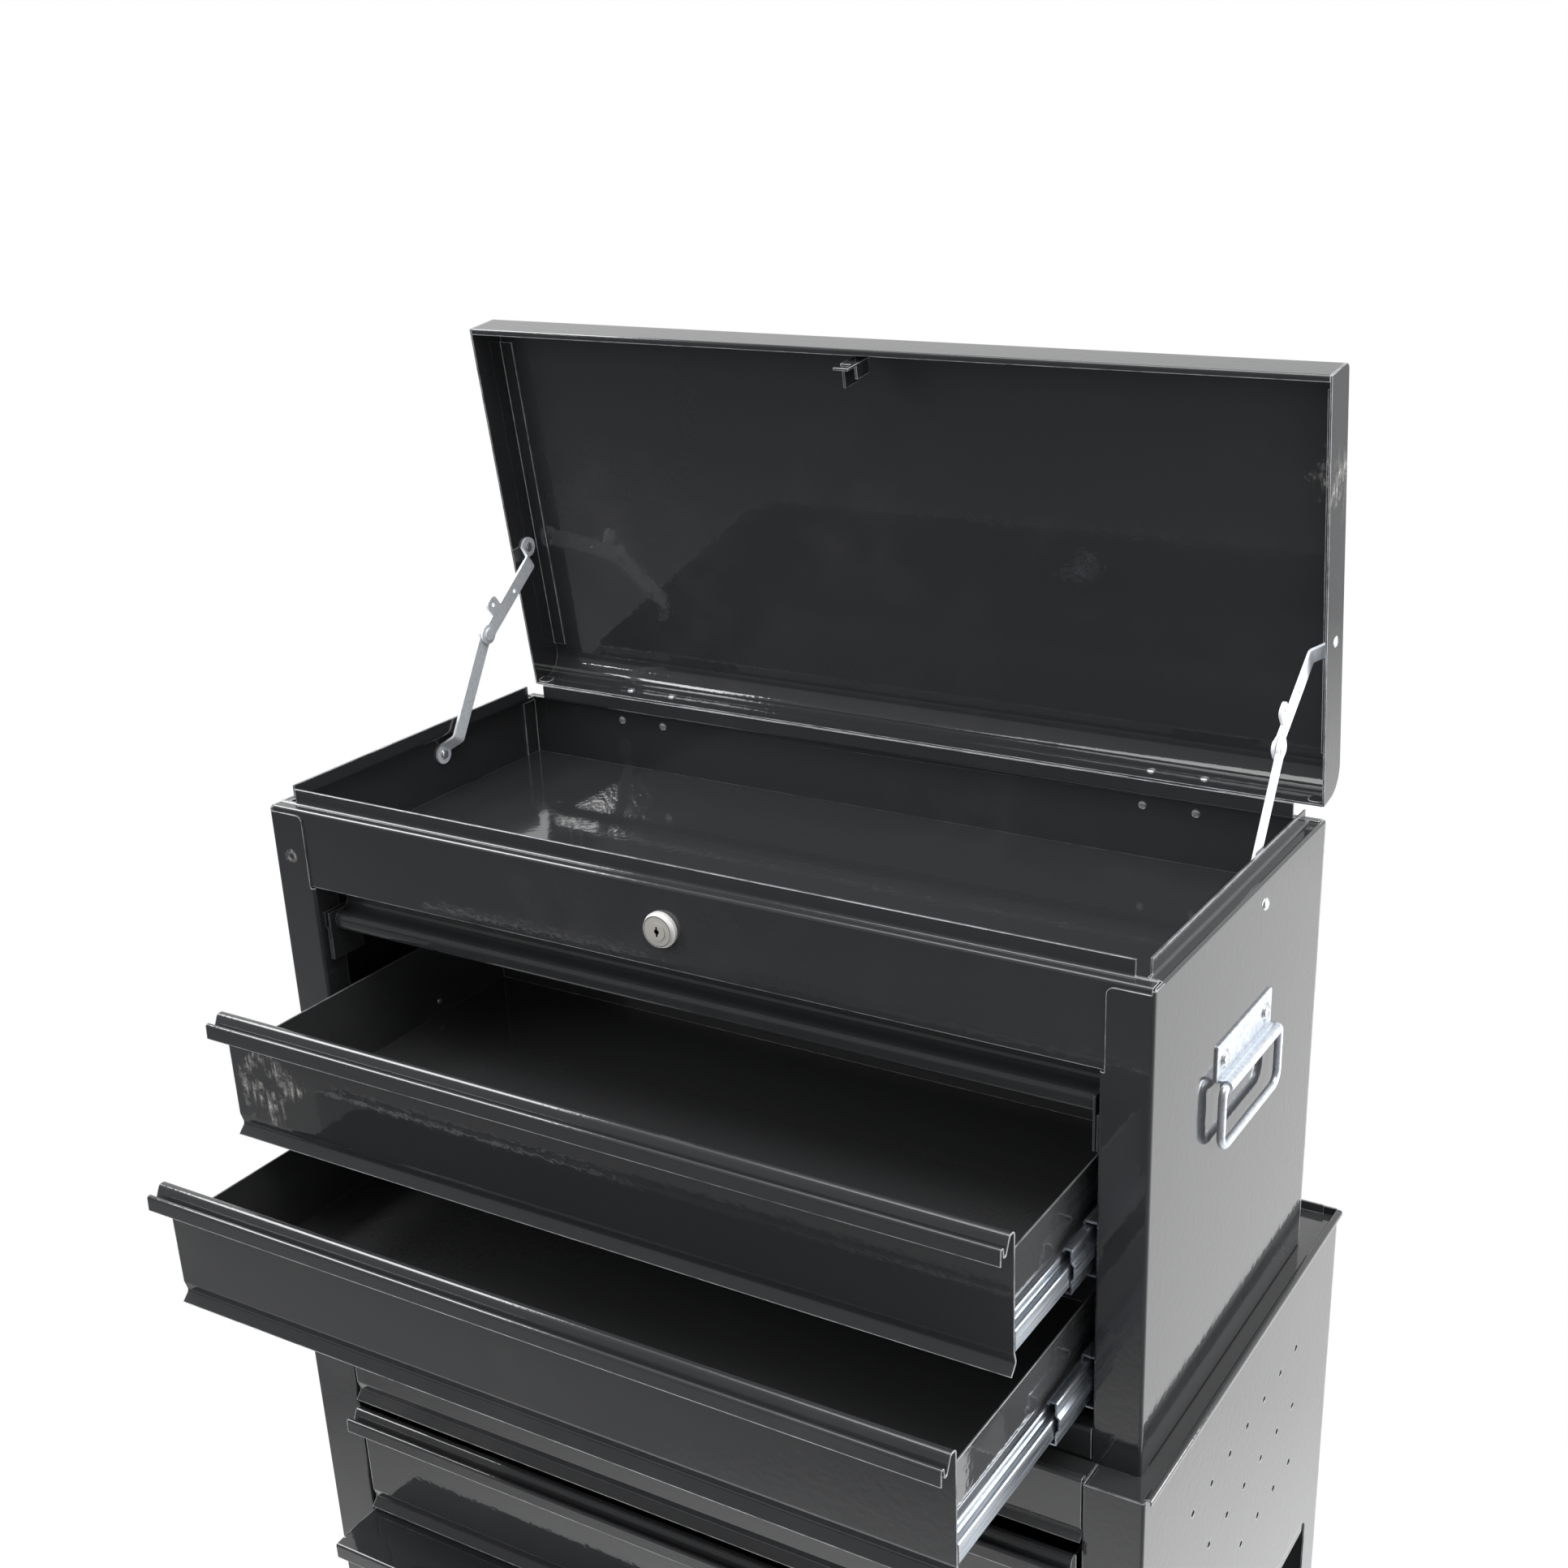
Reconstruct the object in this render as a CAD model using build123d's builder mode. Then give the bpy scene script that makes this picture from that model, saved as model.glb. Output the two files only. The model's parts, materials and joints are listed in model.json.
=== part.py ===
"""Rolling tool chest: a two-drawer top chest on a roller cabinet with two drawers and a bulk bay.

Millimetres, +Z up, front towards -Y, the floor at Z = 0. The model stands in its display pose:
lid open and both chest drawers pulled out.
"""
from build123d import *
import os
from math import atan2, cos, degrees, hypot, radians, sin, sqrt

os.makedirs("parts", exist_ok=True)

# ---- driving dimensions ------------------------------------------------------------------
sheet = 1.2              # shell steel
thin = 0.9               # drawer steel
fold_r = 2.0             # outside radius of an ordinary fold
fit = 0.06               # radial clearance of a pin in its bore
seat = 0.3               # running gap between pieces that move past each other

slip = 0.1               # gap between sheets of one body that fit inside each other

chest_w = 610.0
chest_d = 269.0
chest_h = 302.0          # up to the shoulder
rim_h = 10.0
rim_inset = 8.0
rim_inset_front = 9.6
rim_notch = 15.0         # rim left off at each corner
rim_base = 0.8           # of a rim above the shoulder, where the notch stops
wrap = 12.0              # of a corner post's sheet round onto the side
post_w = 30.0            # chest corner post, below the front panel
post_top_w = 27.0
post_return = 20.0
panel_bottom = chest_h - 52.0
till_z = chest_h - 45.0
till_flange = 14.0
base_rail_h = 22.5

tray_margin = 12.0       # of the cabinet's top round each side of the chest
tray_front = 23.0
tray_behind = 45.6
cab_w = chest_w + 2 * tray_margin
cab_front = -tray_front  # the cabinet stands this far ahead of the chest
cab_d = chest_d + tray_front + tray_behind
cab_post_w = 37.5
cab_hem_h = 5.6
cab_rail_bottom = -37.0
cab_bottom = -575.0
plinth_h = 48.0
bay_floor_z = cab_bottom + plinth_h

caster_h = 125.0
wheel_r = 50.0
wheel_w = 26.0
axle_r = 5.0
trail = 28.0

lid_side = 2.5           # of the chest's side beyond the lid's
lid_w = chest_w - 2 * lid_side
lid_h = 29.6
lid_open = 82.3          # degrees from closed at rest
lid_bend_r = 17.0
hinge_y = chest_d + 4.0
hinge_z = chest_h + 3.0
lid_gap = 1.5            # between the closed lid and the shoulder
lid_front = 5.3
lid_lip = 3.8
hinge_x = chest_w / 2 - 101.0
hinge_w = 60.0
knuckle_r = 3.0
pin_r = 1.5
leaf_t = 1.5

stay_t = 1.8
stay_w = 11.0
stay_lobe_r = 7.0
stay_body_y = hinge_y - 109.1
stay_body_z = hinge_z - 18.9
stay_lid_back = 105.4    # lid pivot, from the hinge axis
stay_lid_up = 14.7
stay_knee_y = hinge_y - 62.6
stay_knee_z = hinge_z + 58.2
stay_rivet_r = 2.5
stay_head_r = 4.0

front_gap = 4.0          # between a chest drawer's front and each post
lip_depth = 33.5         # of the curled lip below the front panel
under_lip = 13.5
over_rail = 7.5
between = 1.0            # between the two chest drawers
drawer_w = chest_w - 2 * (post_w + front_gap)
drawer_2_z = base_rail_h + over_rail
drawer_h = (panel_bottom - lip_depth - under_lip - between - drawer_2_z) / 2
drawer_1_z = drawer_2_z + drawer_h + between
wall_drop = 23.0         # of a tray's wall below the top of its front
drawer_rear_gap = 21.0
drawer_depth = chest_d - drawer_rear_gap
pull_1 = 91.0
pull_2 = 155.0
cab_front_gap = 2.5
cab_between = 6.0
under_rail = 9.0
cab_drawer_w = cab_w - 2 * (cab_post_w + cab_front_gap)
cab_drawer_h = 88.0
cab_rear_gap = 37.6
cab_drawer_depth = cab_d - cab_rear_gap
drawer_a_z = cab_rail_bottom - under_rail - cab_drawer_h
drawer_b_z = drawer_a_z - cab_between - cab_drawer_h
divider_z = drawer_b_z + 2.0
tray_lift = 6.0
handle_reach = 15.4      # of the pull, ahead of a drawer's face
hem_lean = 0.4

slide_t = 12.7
slide_h = 35.0
mid_h = 28.4
member_h = 20.0
slide_wall = 1.2
slide_z = 20.0           # slide centre above the drawer's lower edge
slide_front = 5.0        # of a slide behind the face of its posts
chest_slide_gap = 19.0   # from a slide's rear end to the outside of the back
cab_slide_gap = 37.6
chest_slide_l = chest_d - slide_front - chest_slide_gap
cab_slide_l = cab_d - slide_front - cab_slide_gap
mid_ratio = 0.27         # share of the pull that the middle member makes
mid_ahead = 1.0          # of the middle member ahead of the fixed one, drawer shut
mid_less = 10.0          # how much shorter it is

handle_y = chest_d / 2 + 1.5
handle_w = 88.0
handle_top = chest_h - 74.0
handle_screw_dy = 33.0
handle_screw_z = handle_top - 12.0
bail_r = 2.5
bail_z = handle_top - 25.0
bail_off = 6.0
bail_w = 93.0
bail_drop = 37.5
bail_bend = 5.0

lock_z = chest_h - 27.0
lock_r = 9.4
flange_r = 11.0
bezel_r = 9.8
plug_r = 5.5
cam_reach = 18.5
cam_w = 8.0

door_w = cab_drawer_w
door_flange = 14.0
door_z = divider_z - 5.0
door_pin_z = door_z - 8.0
door_over_floor = 4.0
door_l = door_pin_z - bay_floor_z - door_over_floor   # pin axis to free edge
door_out = 42.0          # how far the parked door stands out of the cabinet
roller_r = 8.0
door_pin_r = 3.95
channel_h = 17.0

peg_r = 2.5
peg_pitch = 30.7
peg_row = 46.2
peg_back = 75.7
peg_top = -60.0
window_top = divider_z - 11.0
window_back = 25.6
window_front = 45.0
window_bottom = bay_floor_z + 37.0

tray_z = caster_h - cab_bottom
half = chest_w / 2
cab_half = cab_w / 2
cab_back = cab_front + cab_d
front_y = -(cab_back - pull_2 - handle_reach) / 2

# ---- frames: the chest's corner frame, and the lid's frame on its hinge axis ----------------
chest = Plane(origin=(0, front_y, tray_z))
tilt = radians(-lid_open)
lid = Plane(
    origin=(0, front_y + hinge_y, tray_z + hinge_z),
    x_dir=(1, 0, 0),
    z_dir=(0, -sin(tilt), cos(tilt)),
)


def across(base, x):
    """Plane facing +X of a frame; its sketch axes are the frame's Y and Z."""
    return Plane(origin=base.from_local_coords((x, 0, 0)), x_dir=base.y_dir, z_dir=base.x_dir)


def facing(base, y):
    """Plane facing -Y of a frame; its sketch axes are the frame's X and Z."""
    return Plane(origin=base.from_local_coords((0, y, 0)), x_dir=base.x_dir, z_dir=-base.y_dir)


def level(base, z):
    """Plane facing +Z of a frame; its sketch axes are the frame's X and Y."""
    return Plane(origin=base.from_local_coords((0, 0, z)), x_dir=base.x_dir, z_dir=base.z_dir)


def block(base, x, y, z, mode=Mode.ADD):
    """A box given by its (low, high) pair along each axis of a frame."""
    centre = tuple((a + b) / 2 for a, b in (x, y, z))
    with Locations(base):
        with Locations(centre):
            Box(x[1] - x[0], y[1] - y[0], z[1] - z[0], mode=mode)


def folded(plane, points, radius, length, thickness, side=Side.LEFT, mode=Mode.ADD):
    """Sheet bent along a line of points, drawn out along the plane's normal."""
    with BuildSketch(plane) as profile:
        with BuildLine():
            FilletPolyline(*points, radius=radius)
            offset(amount=thickness, side=side)
        make_face()
    extrude(profile.sketch, amount=length, dir=plane.z_dir, mode=mode)


def shape(plane, points, length, mode=Mode.ADD):
    """A polygon drawn out along the plane's normal."""
    with BuildSketch(plane) as profile:
        with BuildLine():
            Polyline(*points, close=True)
        make_face()
    extrude(profile.sketch, amount=length, dir=plane.z_dir, mode=mode)


def disc(plane, spots, radius, length, mode=Mode.ADD):
    """Round posts, or holes, at each spot of a plane, drawn out along its normal."""
    with BuildSketch(plane) as profile:
        with Locations(*spots):
            Circle(radius)
    extrude(profile.sketch, amount=length, dir=plane.z_dir, mode=mode)


def rounded(plane, centre, size, radius, length, mode=Mode.ADD):
    """A rounded rectangle drawn out along the plane's normal."""
    with BuildSketch(plane) as profile:
        with Locations(centre):
            RectangleRounded(size[0], size[1], radius)
    extrude(profile.sketch, amount=length, dir=plane.z_dir, mode=mode)


def rivet(plane, spots, shank_r, grip, head_r, head_t):
    """Rivets through a stack that starts at the plane and is grip thick."""
    disc(plane.offset(-head_t), spots, head_r, head_t)
    disc(plane, spots, shank_r, grip)
    disc(plane.offset(grip), spots, head_r, head_t)


def mirrored(piece):
    """The left-hand twin of a right-hand piece."""
    with BuildPart() as twin:
        add(mirror(piece.part, about=Plane.YZ, mode=Mode.PRIVATE))
    return twin


def save(piece, name):
    piece.part.label = name
    export_step(piece.part, f"parts/{name}.step")


# ---- chest shell ---------------------------------------------------------------------------
rear_in = chest_d - sheet            # front face of the back panel
side_in = half - sheet               # inner face of a side wall
post_x = half - post_w
rim_x = half - rim_inset
rim_rear = chest_d - rim_inset
ledge_gap = 0.4                      # left free between two ledges at a corner
handle_screws = [(handle_y + s * handle_screw_dy, handle_screw_z) for s in (-1, 1)]
screw_r = 2.4

base_flange = 15.0                   # of a side, turned in under the chest
post_step = 1.0                      # of the lower post below the front panel
overlap = 0.5                        # of the upper post plate over the lower
plate_top = chest_h - 3.5            # upper edge of that plate, below the shoulder
plate_r = 4.5                        # its rounded inner corner
cut = 1.0                            # what a cutting block reaches past the sheet

with BuildPart() as chest_side_right:
    folded(
        facing(chest, rear_in),
        [(half - base_flange, 0), (half, 0), (half, chest_h), (rim_x, chest_h), (rim_x, chest_h + rim_h)],
        fold_r, rear_in - fold_r, sheet,
    )
    ledge_front = rim_inset_front + sheet + ledge_gap
    ledge_rear = rim_rear - sheet - ledge_gap
    rim_span = (chest_h + rim_base, chest_h + rim_h + cut)
    for y in ((0, ledge_front), (ledge_rear, chest_d)):
        x = (rim_x - sheet - fold_r, side_in)
        block(chest, x, y, (chest_h - 2 * fold_r, rim_span[1]), Mode.SUBTRACT)
    for y in ((0, rim_notch), (rear_in - rim_notch, chest_d)):
        block(chest, (rim_x - sheet - fold_r, half + cut), y, rim_span, Mode.SUBTRACT)
    folded(
        level(chest, 0),
        [(post_x, post_return), (post_x, 0), (half, 0), (half, wrap)],
        fold_r, panel_bottom - post_step, sheet,
    )
    folded(
        level(chest, panel_bottom - post_step - overlap),
        [(half - post_top_w, 0), (half, 0), (half, wrap)],
        fold_r, chest_h - sheet - panel_bottom + post_step + overlap, sheet,
    )
    plate_span = (-cut, sheet + slip)
    x = (half - post_top_w - cut, half - fold_r)
    block(chest, x, plate_span, (plate_top, chest_h), Mode.SUBTRACT)
    with BuildSketch(facing(chest, plate_span[1])) as corner:
        with Locations((half - post_top_w + plate_r / 2, plate_top - plate_r / 2)):
            Rectangle(plate_r, plate_r)
        with Locations((half - post_top_w + plate_r, plate_top - plate_r)):
            Circle(plate_r, mode=Mode.SUBTRACT)
    extrude(corner.sketch, amount=plate_span[1] - plate_span[0], dir=(0, -1, 0), mode=Mode.SUBTRACT)
    through = across(chest, side_in - cut)
    disc(through, handle_screws, screw_r + fit, sheet + 2 * cut, Mode.SUBTRACT)
    stay_hole = [(stay_body_y, stay_body_z)]
    disc(through, stay_hole, stay_rivet_r, sheet + 2 * cut, Mode.SUBTRACT)
chest_side_left = mirrored(chest_side_right)
save(chest_side_right, "chest_side_right")
save(chest_side_left, "chest_side_left")

leaf_z = hinge_z - 23.0
leaf_rivet_z = hinge_z - 13.0
leaf_rivet_dx = 18.0
leaf_spots = [(s * hinge_x + d, leaf_rivet_z) for s in (-1, 1) for d in (-leaf_rivet_dx, leaf_rivet_dx)]
leaf_hole_r = 2.0
ledge_half = side_in - (fold_r - sheet) - slip
back_flange = 13.0
flange_end = 5.0                     # a flange stops short of its sheet's ends

with BuildPart() as chest_back:
    folded(
        across(chest, -ledge_half),
        [(chest_d, fold_r), (chest_d, chest_h), (rim_rear, chest_h), (rim_rear, chest_h + rim_h)],
        fold_r, 2 * ledge_half, sheet,
    )
    block(chest, (-half, half), (rear_in, chest_d), (0, chest_h - fold_r))
    for s in (-1, 1):
        x = sorted((s * (half - rim_notch - 3), s * half))
        block(chest, x, (rim_rear - 2 * sheet, rim_rear + fold_r), rim_span, Mode.SUBTRACT)
        x = sorted((s * (side_in - sheet), s * side_in))
        block(chest, x, (rear_in - back_flange, rear_in), (flange_end, chest_h - flange_end))
    disc(facing(chest, chest_d + cut), leaf_spots, leaf_hole_r, sheet + 2 * cut, Mode.SUBTRACT)
save(chest_back, "chest_back")

rail_flange = 14.0
with BuildPart() as chest_bottom:
    folded(
        across(chest, slip - post_x),
        [(rail_flange, base_rail_h), (0, base_rail_h), (0, sheet), (rear_in - slip, sheet)],
        fold_r, 2 * (post_x - slip), sheet,
    )
    block(
        chest, (-ledge_half, ledge_half), (post_return + slip, rear_in - slip),
        (sheet, 2 * sheet),
    )
save(chest_bottom, "chest_bottom")

lip_half = post_x - 5.5
lip_low = panel_bottom - lip_depth
lip_front = 9.5                      # front of the lip's lower curl
lip_rear = 24.0
lip_curve = [
    (sheet, panel_bottom + 3), (sheet, panel_bottom),
    (lip_rear - 3.5, panel_bottom - 3), (lip_rear - 1, lip_low + 15.5),
    (lip_front, lip_low + 12.5), (lip_front, lip_low + 1),
    (lip_rear, lip_low), (lip_rear, lip_low + 5.5),
]
lip_bends = [1.5, 8, 5, 5, 5, 2]
with BuildPart() as chest_front_panel:
    folded(
        across(chest, -ledge_half),
        [
            (rim_inset_front, chest_h + rim_h), (rim_inset_front, chest_h),
            (sheet, chest_h), (sheet, panel_bottom),
        ],
        fold_r, 2 * ledge_half, sheet,
    )
    for s in (-1, 1):
        x = sorted((s * (half - rim_notch), s * half))
        y = (rim_inset_front - fold_r, rim_inset_front + 2 * sheet)
        block(chest, x, y, rim_span, Mode.SUBTRACT)
    folded(across(chest, -lip_half), lip_curve, lip_bends, 2 * lip_half, sheet)
    disc(facing(chest, 2 * sheet + cut), [(0, lock_z)], lock_r, sheet + 2 * cut, Mode.SUBTRACT)
save(chest_front_panel, "chest_front_panel")

with BuildPart() as till_floor:
    floor_half = side_in - sheet - slip
    block(
        chest, (-floor_half, floor_half), (2 * sheet + slip, rear_in - slip),
        (till_z - sheet, till_z),
    )
    y = (post_return + 10, rear_in - back_flange - 7)
    for s in (-1, 1):
        x = sorted((s * (floor_half - sheet), s * floor_half))
        block(chest, x, y, (till_z - till_flange, till_z - sheet))
save(till_floor, "till_floor")

# ---- lid hinges ------------------------------------------------------------------------------
knuckle_step = hinge_w / 5
leaf_root = -4.0                     # outer face of the back panel, from the axis
lid_face = chest_d + 0.5 - hinge_y   # outer face of the lid's rear flange, from the axis
axis = Plane(origin=lid.origin)      # hinge axis, square to the chest


def knuckles(base, low, high):
    """Barrel rings between two distances from the left end of each leaf."""
    for s in (-1, 1):
        start = s * hinge_x - hinge_w / 2
        disc(across(base, start + low), [(0, 0)], knuckle_r, high - low)


leaf_start = 5.5                     # height at which a leaf's flare becomes its plate


def leaf(base, root, sign, reach):
    """Both leaves of a pair, each a plate with a flare into its barrel."""
    for s in (-1, 1):
        start = s * hinge_x - hinge_w / 2
        z = sorted((sign * leaf_start, sign * reach))
        block(base, (start, start + hinge_w), (root, root + leaf_t), z)
        shape(
            across(base, start),
            [
                (root, sign * leaf_start), (root + leaf_t, sign * leaf_start),
                (0.3 * knuckle_r, sign * 0.93 * knuckle_r),
                (-0.73 * knuckle_r, sign * 0.63 * knuckle_r),
            ],
            hinge_w,
        )


def clear_rings(base, spans, radius):
    for low, high in spans:
        for s in (-1, 1):
            start = s * hinge_x - hinge_w / 2
            disc(across(base, start + low), [(0, 0)], radius, high - low, Mode.SUBTRACT)


body_spans = [(2 * i * knuckle_step, (2 * i + 1) * knuckle_step) for i in range(3)]
lid_spans = [(body_spans[i][1], body_spans[i + 1][0]) for i in range(2)]
leaf_reach = hinge_z - leaf_z

with BuildPart() as body_hinge_leaves:
    leaf(axis, leaf_root, -1, leaf_reach)
    clear_rings(axis, lid_spans, knuckle_r + seat)
    for low, high in body_spans:
        knuckles(axis, low, high)
    clear_rings(axis, [(-cut, hinge_w + cut)], pin_r + fit)
    spots = [(x, z - hinge_z) for x, z in leaf_spots]
    disc(facing(axis, 0), spots, leaf_hole_r, 2 * knuckle_r, Mode.SUBTRACT)
save(body_hinge_leaves, "body_hinge_leaves")

lid_rivet_up = 8.6
lid_leaf_less = 2.0                  # the lid's leaves are that much shorter
pin_end = 0.4
pin_head_r = pin_r + 0.8
pin_head_t = 1.2
lid_spots = [(x, lid_rivet_up) for x, z in leaf_spots]
with BuildPart() as lid_hinge_leaves:
    leaf(lid, lid_face, 1, leaf_reach - lid_leaf_less)
    clear_rings(lid, [(low - seat, high + seat) for low, high in body_spans], knuckle_r + seat)
    for low, high in lid_spans:
        knuckles(lid, low + seat, high - seat)
    clear_rings(lid, [(-cut, hinge_w + cut)], pin_r)
    disc(facing(lid, 0), lid_spots, leaf_hole_r, 2 * knuckle_r, Mode.SUBTRACT)
    for s in (-1, 1):
        start = s * hinge_x - hinge_w / 2 - pin_end
        end = start + hinge_w + 2 * pin_end
        disc(across(lid, start), [(0, 0)], pin_r, end - start)
        for at in (start - pin_head_t, end):
            disc(across(lid, at), [(0, 0)], pin_head_r, pin_head_t)
save(lid_hinge_leaves, "lid_hinge_leaves")

# ---- lid ---------------------------------------------------------------------------------------
lid_half = lid_w / 2
cap_x = lid_half - sheet
lid_low = chest_h + lid_gap - hinge_z
lid_top = lid_low + lid_h
lid_far = lid_front - hinge_y
lid_edge_r = 5.0
with BuildPart() as lid_panel:
    folded(
        across(lid, -cap_x),
        [
            (lid_face, lid_low), (lid_face, lid_top), (lid_far, lid_top),
            (lid_far, lid_low), (lid_far + lid_lip, lid_low),
        ],
        [lid_bend_r, lid_edge_r, 1.5], 2 * cap_x, sheet,
    )
    disc(facing(lid, lid_face + cut), lid_spots, leaf_hole_r, sheet + 2 * cut, Mode.SUBTRACT)
save(lid_panel, "lid_panel")

tab_l = 10.0
tab_r = 3.0
front_tab = 18.0
rear_tab = 9.0
lid_mid = (lid_face + lid_far) / 2
with BuildPart() as lid_end_right:
    with BuildSketch(across(lid, cap_x)) as outline:
        with BuildLine():
            FilletPolyline(
                (lid_mid + 1, lid_low), (lid_face, lid_low), (lid_face, lid_top),
                (lid_far, lid_top), (lid_far, lid_low), (lid_mid - 1, lid_low),
                radius=[0.6, lid_bend_r, lid_edge_r, 0.6],
            )
            Line((lid_mid - 1, lid_low), (lid_mid + 1, lid_low))
        make_face()
    extrude(outline.sketch, amount=sheet, dir=(1, 0, 0))
    under = lid_top - sheet
    y = (lid_far + lid_edge_r + 11, lid_face - lid_bend_r - 5)
    block(lid, (cap_x - tab_l, cap_x), y, (under - sheet, under))
    tab_x = cap_x - tab_l / 2
    spot = (tab_x, lid_low + front_tab / 2 + 4)
    rounded(facing(lid, lid_far + 2 * sheet), spot, (tab_l, front_tab), tab_r, sheet)
    spot = (tab_x, lid_low + rear_tab / 2 + 1)
    rounded(facing(lid, lid_face - sheet), spot, (tab_l, rear_tab), tab_r, sheet)
    pivot = [(-stay_lid_back, stay_lid_up)]
    disc(across(lid, cap_x - cut), pivot, stay_rivet_r, sheet + 2 * cut, Mode.SUBTRACT)
lid_end_left = mirrored(lid_end_right)
save(lid_end_right, "lid_end_right")
save(lid_end_left, "lid_end_left")

striker_y = rim_inset_front + 2.9 - hinge_y   # inner strap, clear of the front rim
striker_w = 10.5
striker_top = 24.0
striker_step = 11.5
striker_end = 15.5
striker_sides = (15.5, 9.5)          # depth of its left and right side flanges
notch_up = 3.5
notch_down = 4.0
cam_top = lock_z + cam_reach + cam_w / 2 - hinge_z
with BuildPart() as lid_striker:
    folded(
        across(lid, -striker_w / 2),
        [
            (lid_far + sheet, lid_low + striker_top), (lid_far + sheet, lid_low + striker_step),
            (striker_y, lid_low + striker_step), (striker_y, lid_low - striker_end),
        ],
        leaf_t + 0.1, striker_w, leaf_t,
    )
    for s, deep in zip((-1, 1), striker_sides):
        x = sorted((s * striker_w / 2, s * (striker_w / 2 - leaf_t)))
        y = (striker_y, striker_y + deep)
        block(lid, x, y, (cam_top + cut, lid_low + striker_step - leaf_t))
    notch_z = lock_z + cam_reach - hinge_z
    block(
        lid, (-striker_w, striker_w / 4 - 0.25), (striker_y - cut, striker_y + leaf_t + cut),
        (notch_z - notch_down, notch_z + notch_up), Mode.SUBTRACT,
    )
save(lid_striker, "lid_striker")

# ---- lid stays: flat arms that fold at a knee -------------------------------------------------
lower_x = half - 10.6                # outboard face of the lower arm
upper_x = lower_x - stay_t - 0.5
jog_start = 5.5                      # of an arm's jog, from its pivot
jog_end = 13.0
jog_r = 2.5
lid_pivot = (
    -stay_lid_back * cos(tilt) - stay_lid_up * sin(tilt) + hinge_y,
    -stay_lid_back * sin(tilt) + stay_lid_up * cos(tilt) + hinge_z,
)
shut_pivot = (hinge_y - stay_lid_back, hinge_z + stay_lid_up)
lower_l = hypot(stay_knee_y - stay_body_y, stay_knee_z - stay_body_z)
upper_l = hypot(lid_pivot[0] - stay_knee_y, lid_pivot[1] - stay_knee_z)
gap_y = shut_pivot[0] - stay_body_y
gap_z = shut_pivot[1] - stay_body_z
gap_l = hypot(gap_y, gap_z)
along = (lower_l**2 - upper_l**2 + gap_l**2) / (2 * gap_l)
aside = sqrt(lower_l**2 - along**2)
shut_knee = (
    stay_body_y + (along * gap_y + aside * gap_z) / gap_l,
    stay_body_z + (along * gap_z - aside * gap_y) / gap_l,
)
lower_open = degrees(atan2(stay_knee_z - stay_body_z, stay_knee_y - stay_body_y))
lower_shut = degrees(atan2(shut_knee[1] - stay_body_z, shut_knee[0] - stay_body_y))
upper_open = degrees(atan2(stay_knee_z - lid_pivot[1], stay_knee_y - lid_pivot[0]))
upper_shut = degrees(atan2(shut_knee[1] - shut_pivot[1], shut_knee[0] - shut_pivot[0]))
upper_turn = (upper_shut - upper_open) % 360
print("lower stay arm turns", round(lower_shut - lower_open, 4), "and the upper, past the lid,",
      round(upper_turn - lid_open, 4), "degrees as the lid shuts")


def arm_frame(pivot, angle):
    """Frame on a pivot whose Y runs along the arm and whose Z is square to it."""
    a = radians(angle)
    origin = chest.from_local_coords((0, pivot[0], pivot[1]))
    return Plane(origin=origin, x_dir=(1, 0, 0), z_dir=(0, -sin(a), cos(a)))


def arm(frame, length, wall_x, arm_x):
    """Flat arm, its pivot end jogged out to the wall and its knee end inboard."""
    top = level(frame, -stay_lobe_r - 1)
    folded(
        top,
        [
            (wall_x, -stay_lobe_r), (wall_x, jog_start), (arm_x, jog_end),
            (arm_x, length + stay_lobe_r),
        ],
        jog_r, 2 * stay_lobe_r + 2, stay_t,
    )
    with BuildSketch(across(frame, arm_x - 3 * stay_t)) as outline:
        Circle(stay_lobe_r)
        with Locations((length, 0)):
            Circle(stay_lobe_r)
        with Locations((length / 2, 0)):
            Rectangle(length, stay_w)
    extrude(outline.sketch, amount=wall_x - arm_x + 4 * stay_t, dir=(1, 0, 0), mode=Mode.INTERSECT)
    hole = across(frame, wall_x - stay_t - cut)
    disc(hole, [(0, 0)], stay_rivet_r + fit, stay_t + 2 * cut, Mode.SUBTRACT)


lower_frame = arm_frame((stay_body_y, stay_body_z), lower_open)
upper_frame = arm_frame(lid_pivot, upper_open)
knee_head_r = 4.4
knee_head_t = (1.0, 1.4)             # on the lower arm and on the upper
tab_back = 18.0                      # of the thumb tab, from the knee
tab_out = 9.0
tab_size = (11.0, 14.0)
tab_hole_r = 1.6
with BuildPart() as stay_lower_right:
    arm(lower_frame, lower_l, side_in, lower_x)
    disc(across(lower_frame, lower_x), [(lower_l, 0)], knee_head_r, knee_head_t[0])
stay_lower_left = mirrored(stay_lower_right)
save(stay_lower_right, "stay_lower_right")
save(stay_lower_left, "stay_lower_left")

with BuildPart() as stay_upper_right:
    arm(upper_frame, upper_l, cap_x, upper_x)
    tab = across(upper_frame, upper_x - stay_t)
    rounded(tab, (upper_l - tab_back, -tab_out), tab_size, 4, stay_t)
    holes = [(upper_l - tab_back, -tab_out - 2), (upper_l / 2, 0)]
    disc(tab.offset(-cut), holes, tab_hole_r, stay_t + 2 * cut, Mode.SUBTRACT)
    disc(tab.offset(-knee_head_t[1]), [(upper_l, 0)], knee_head_r, knee_head_t[1])
stay_upper_left = mirrored(stay_upper_right)
save(stay_upper_right, "stay_upper_right")
save(stay_upper_left, "stay_upper_left")

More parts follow.
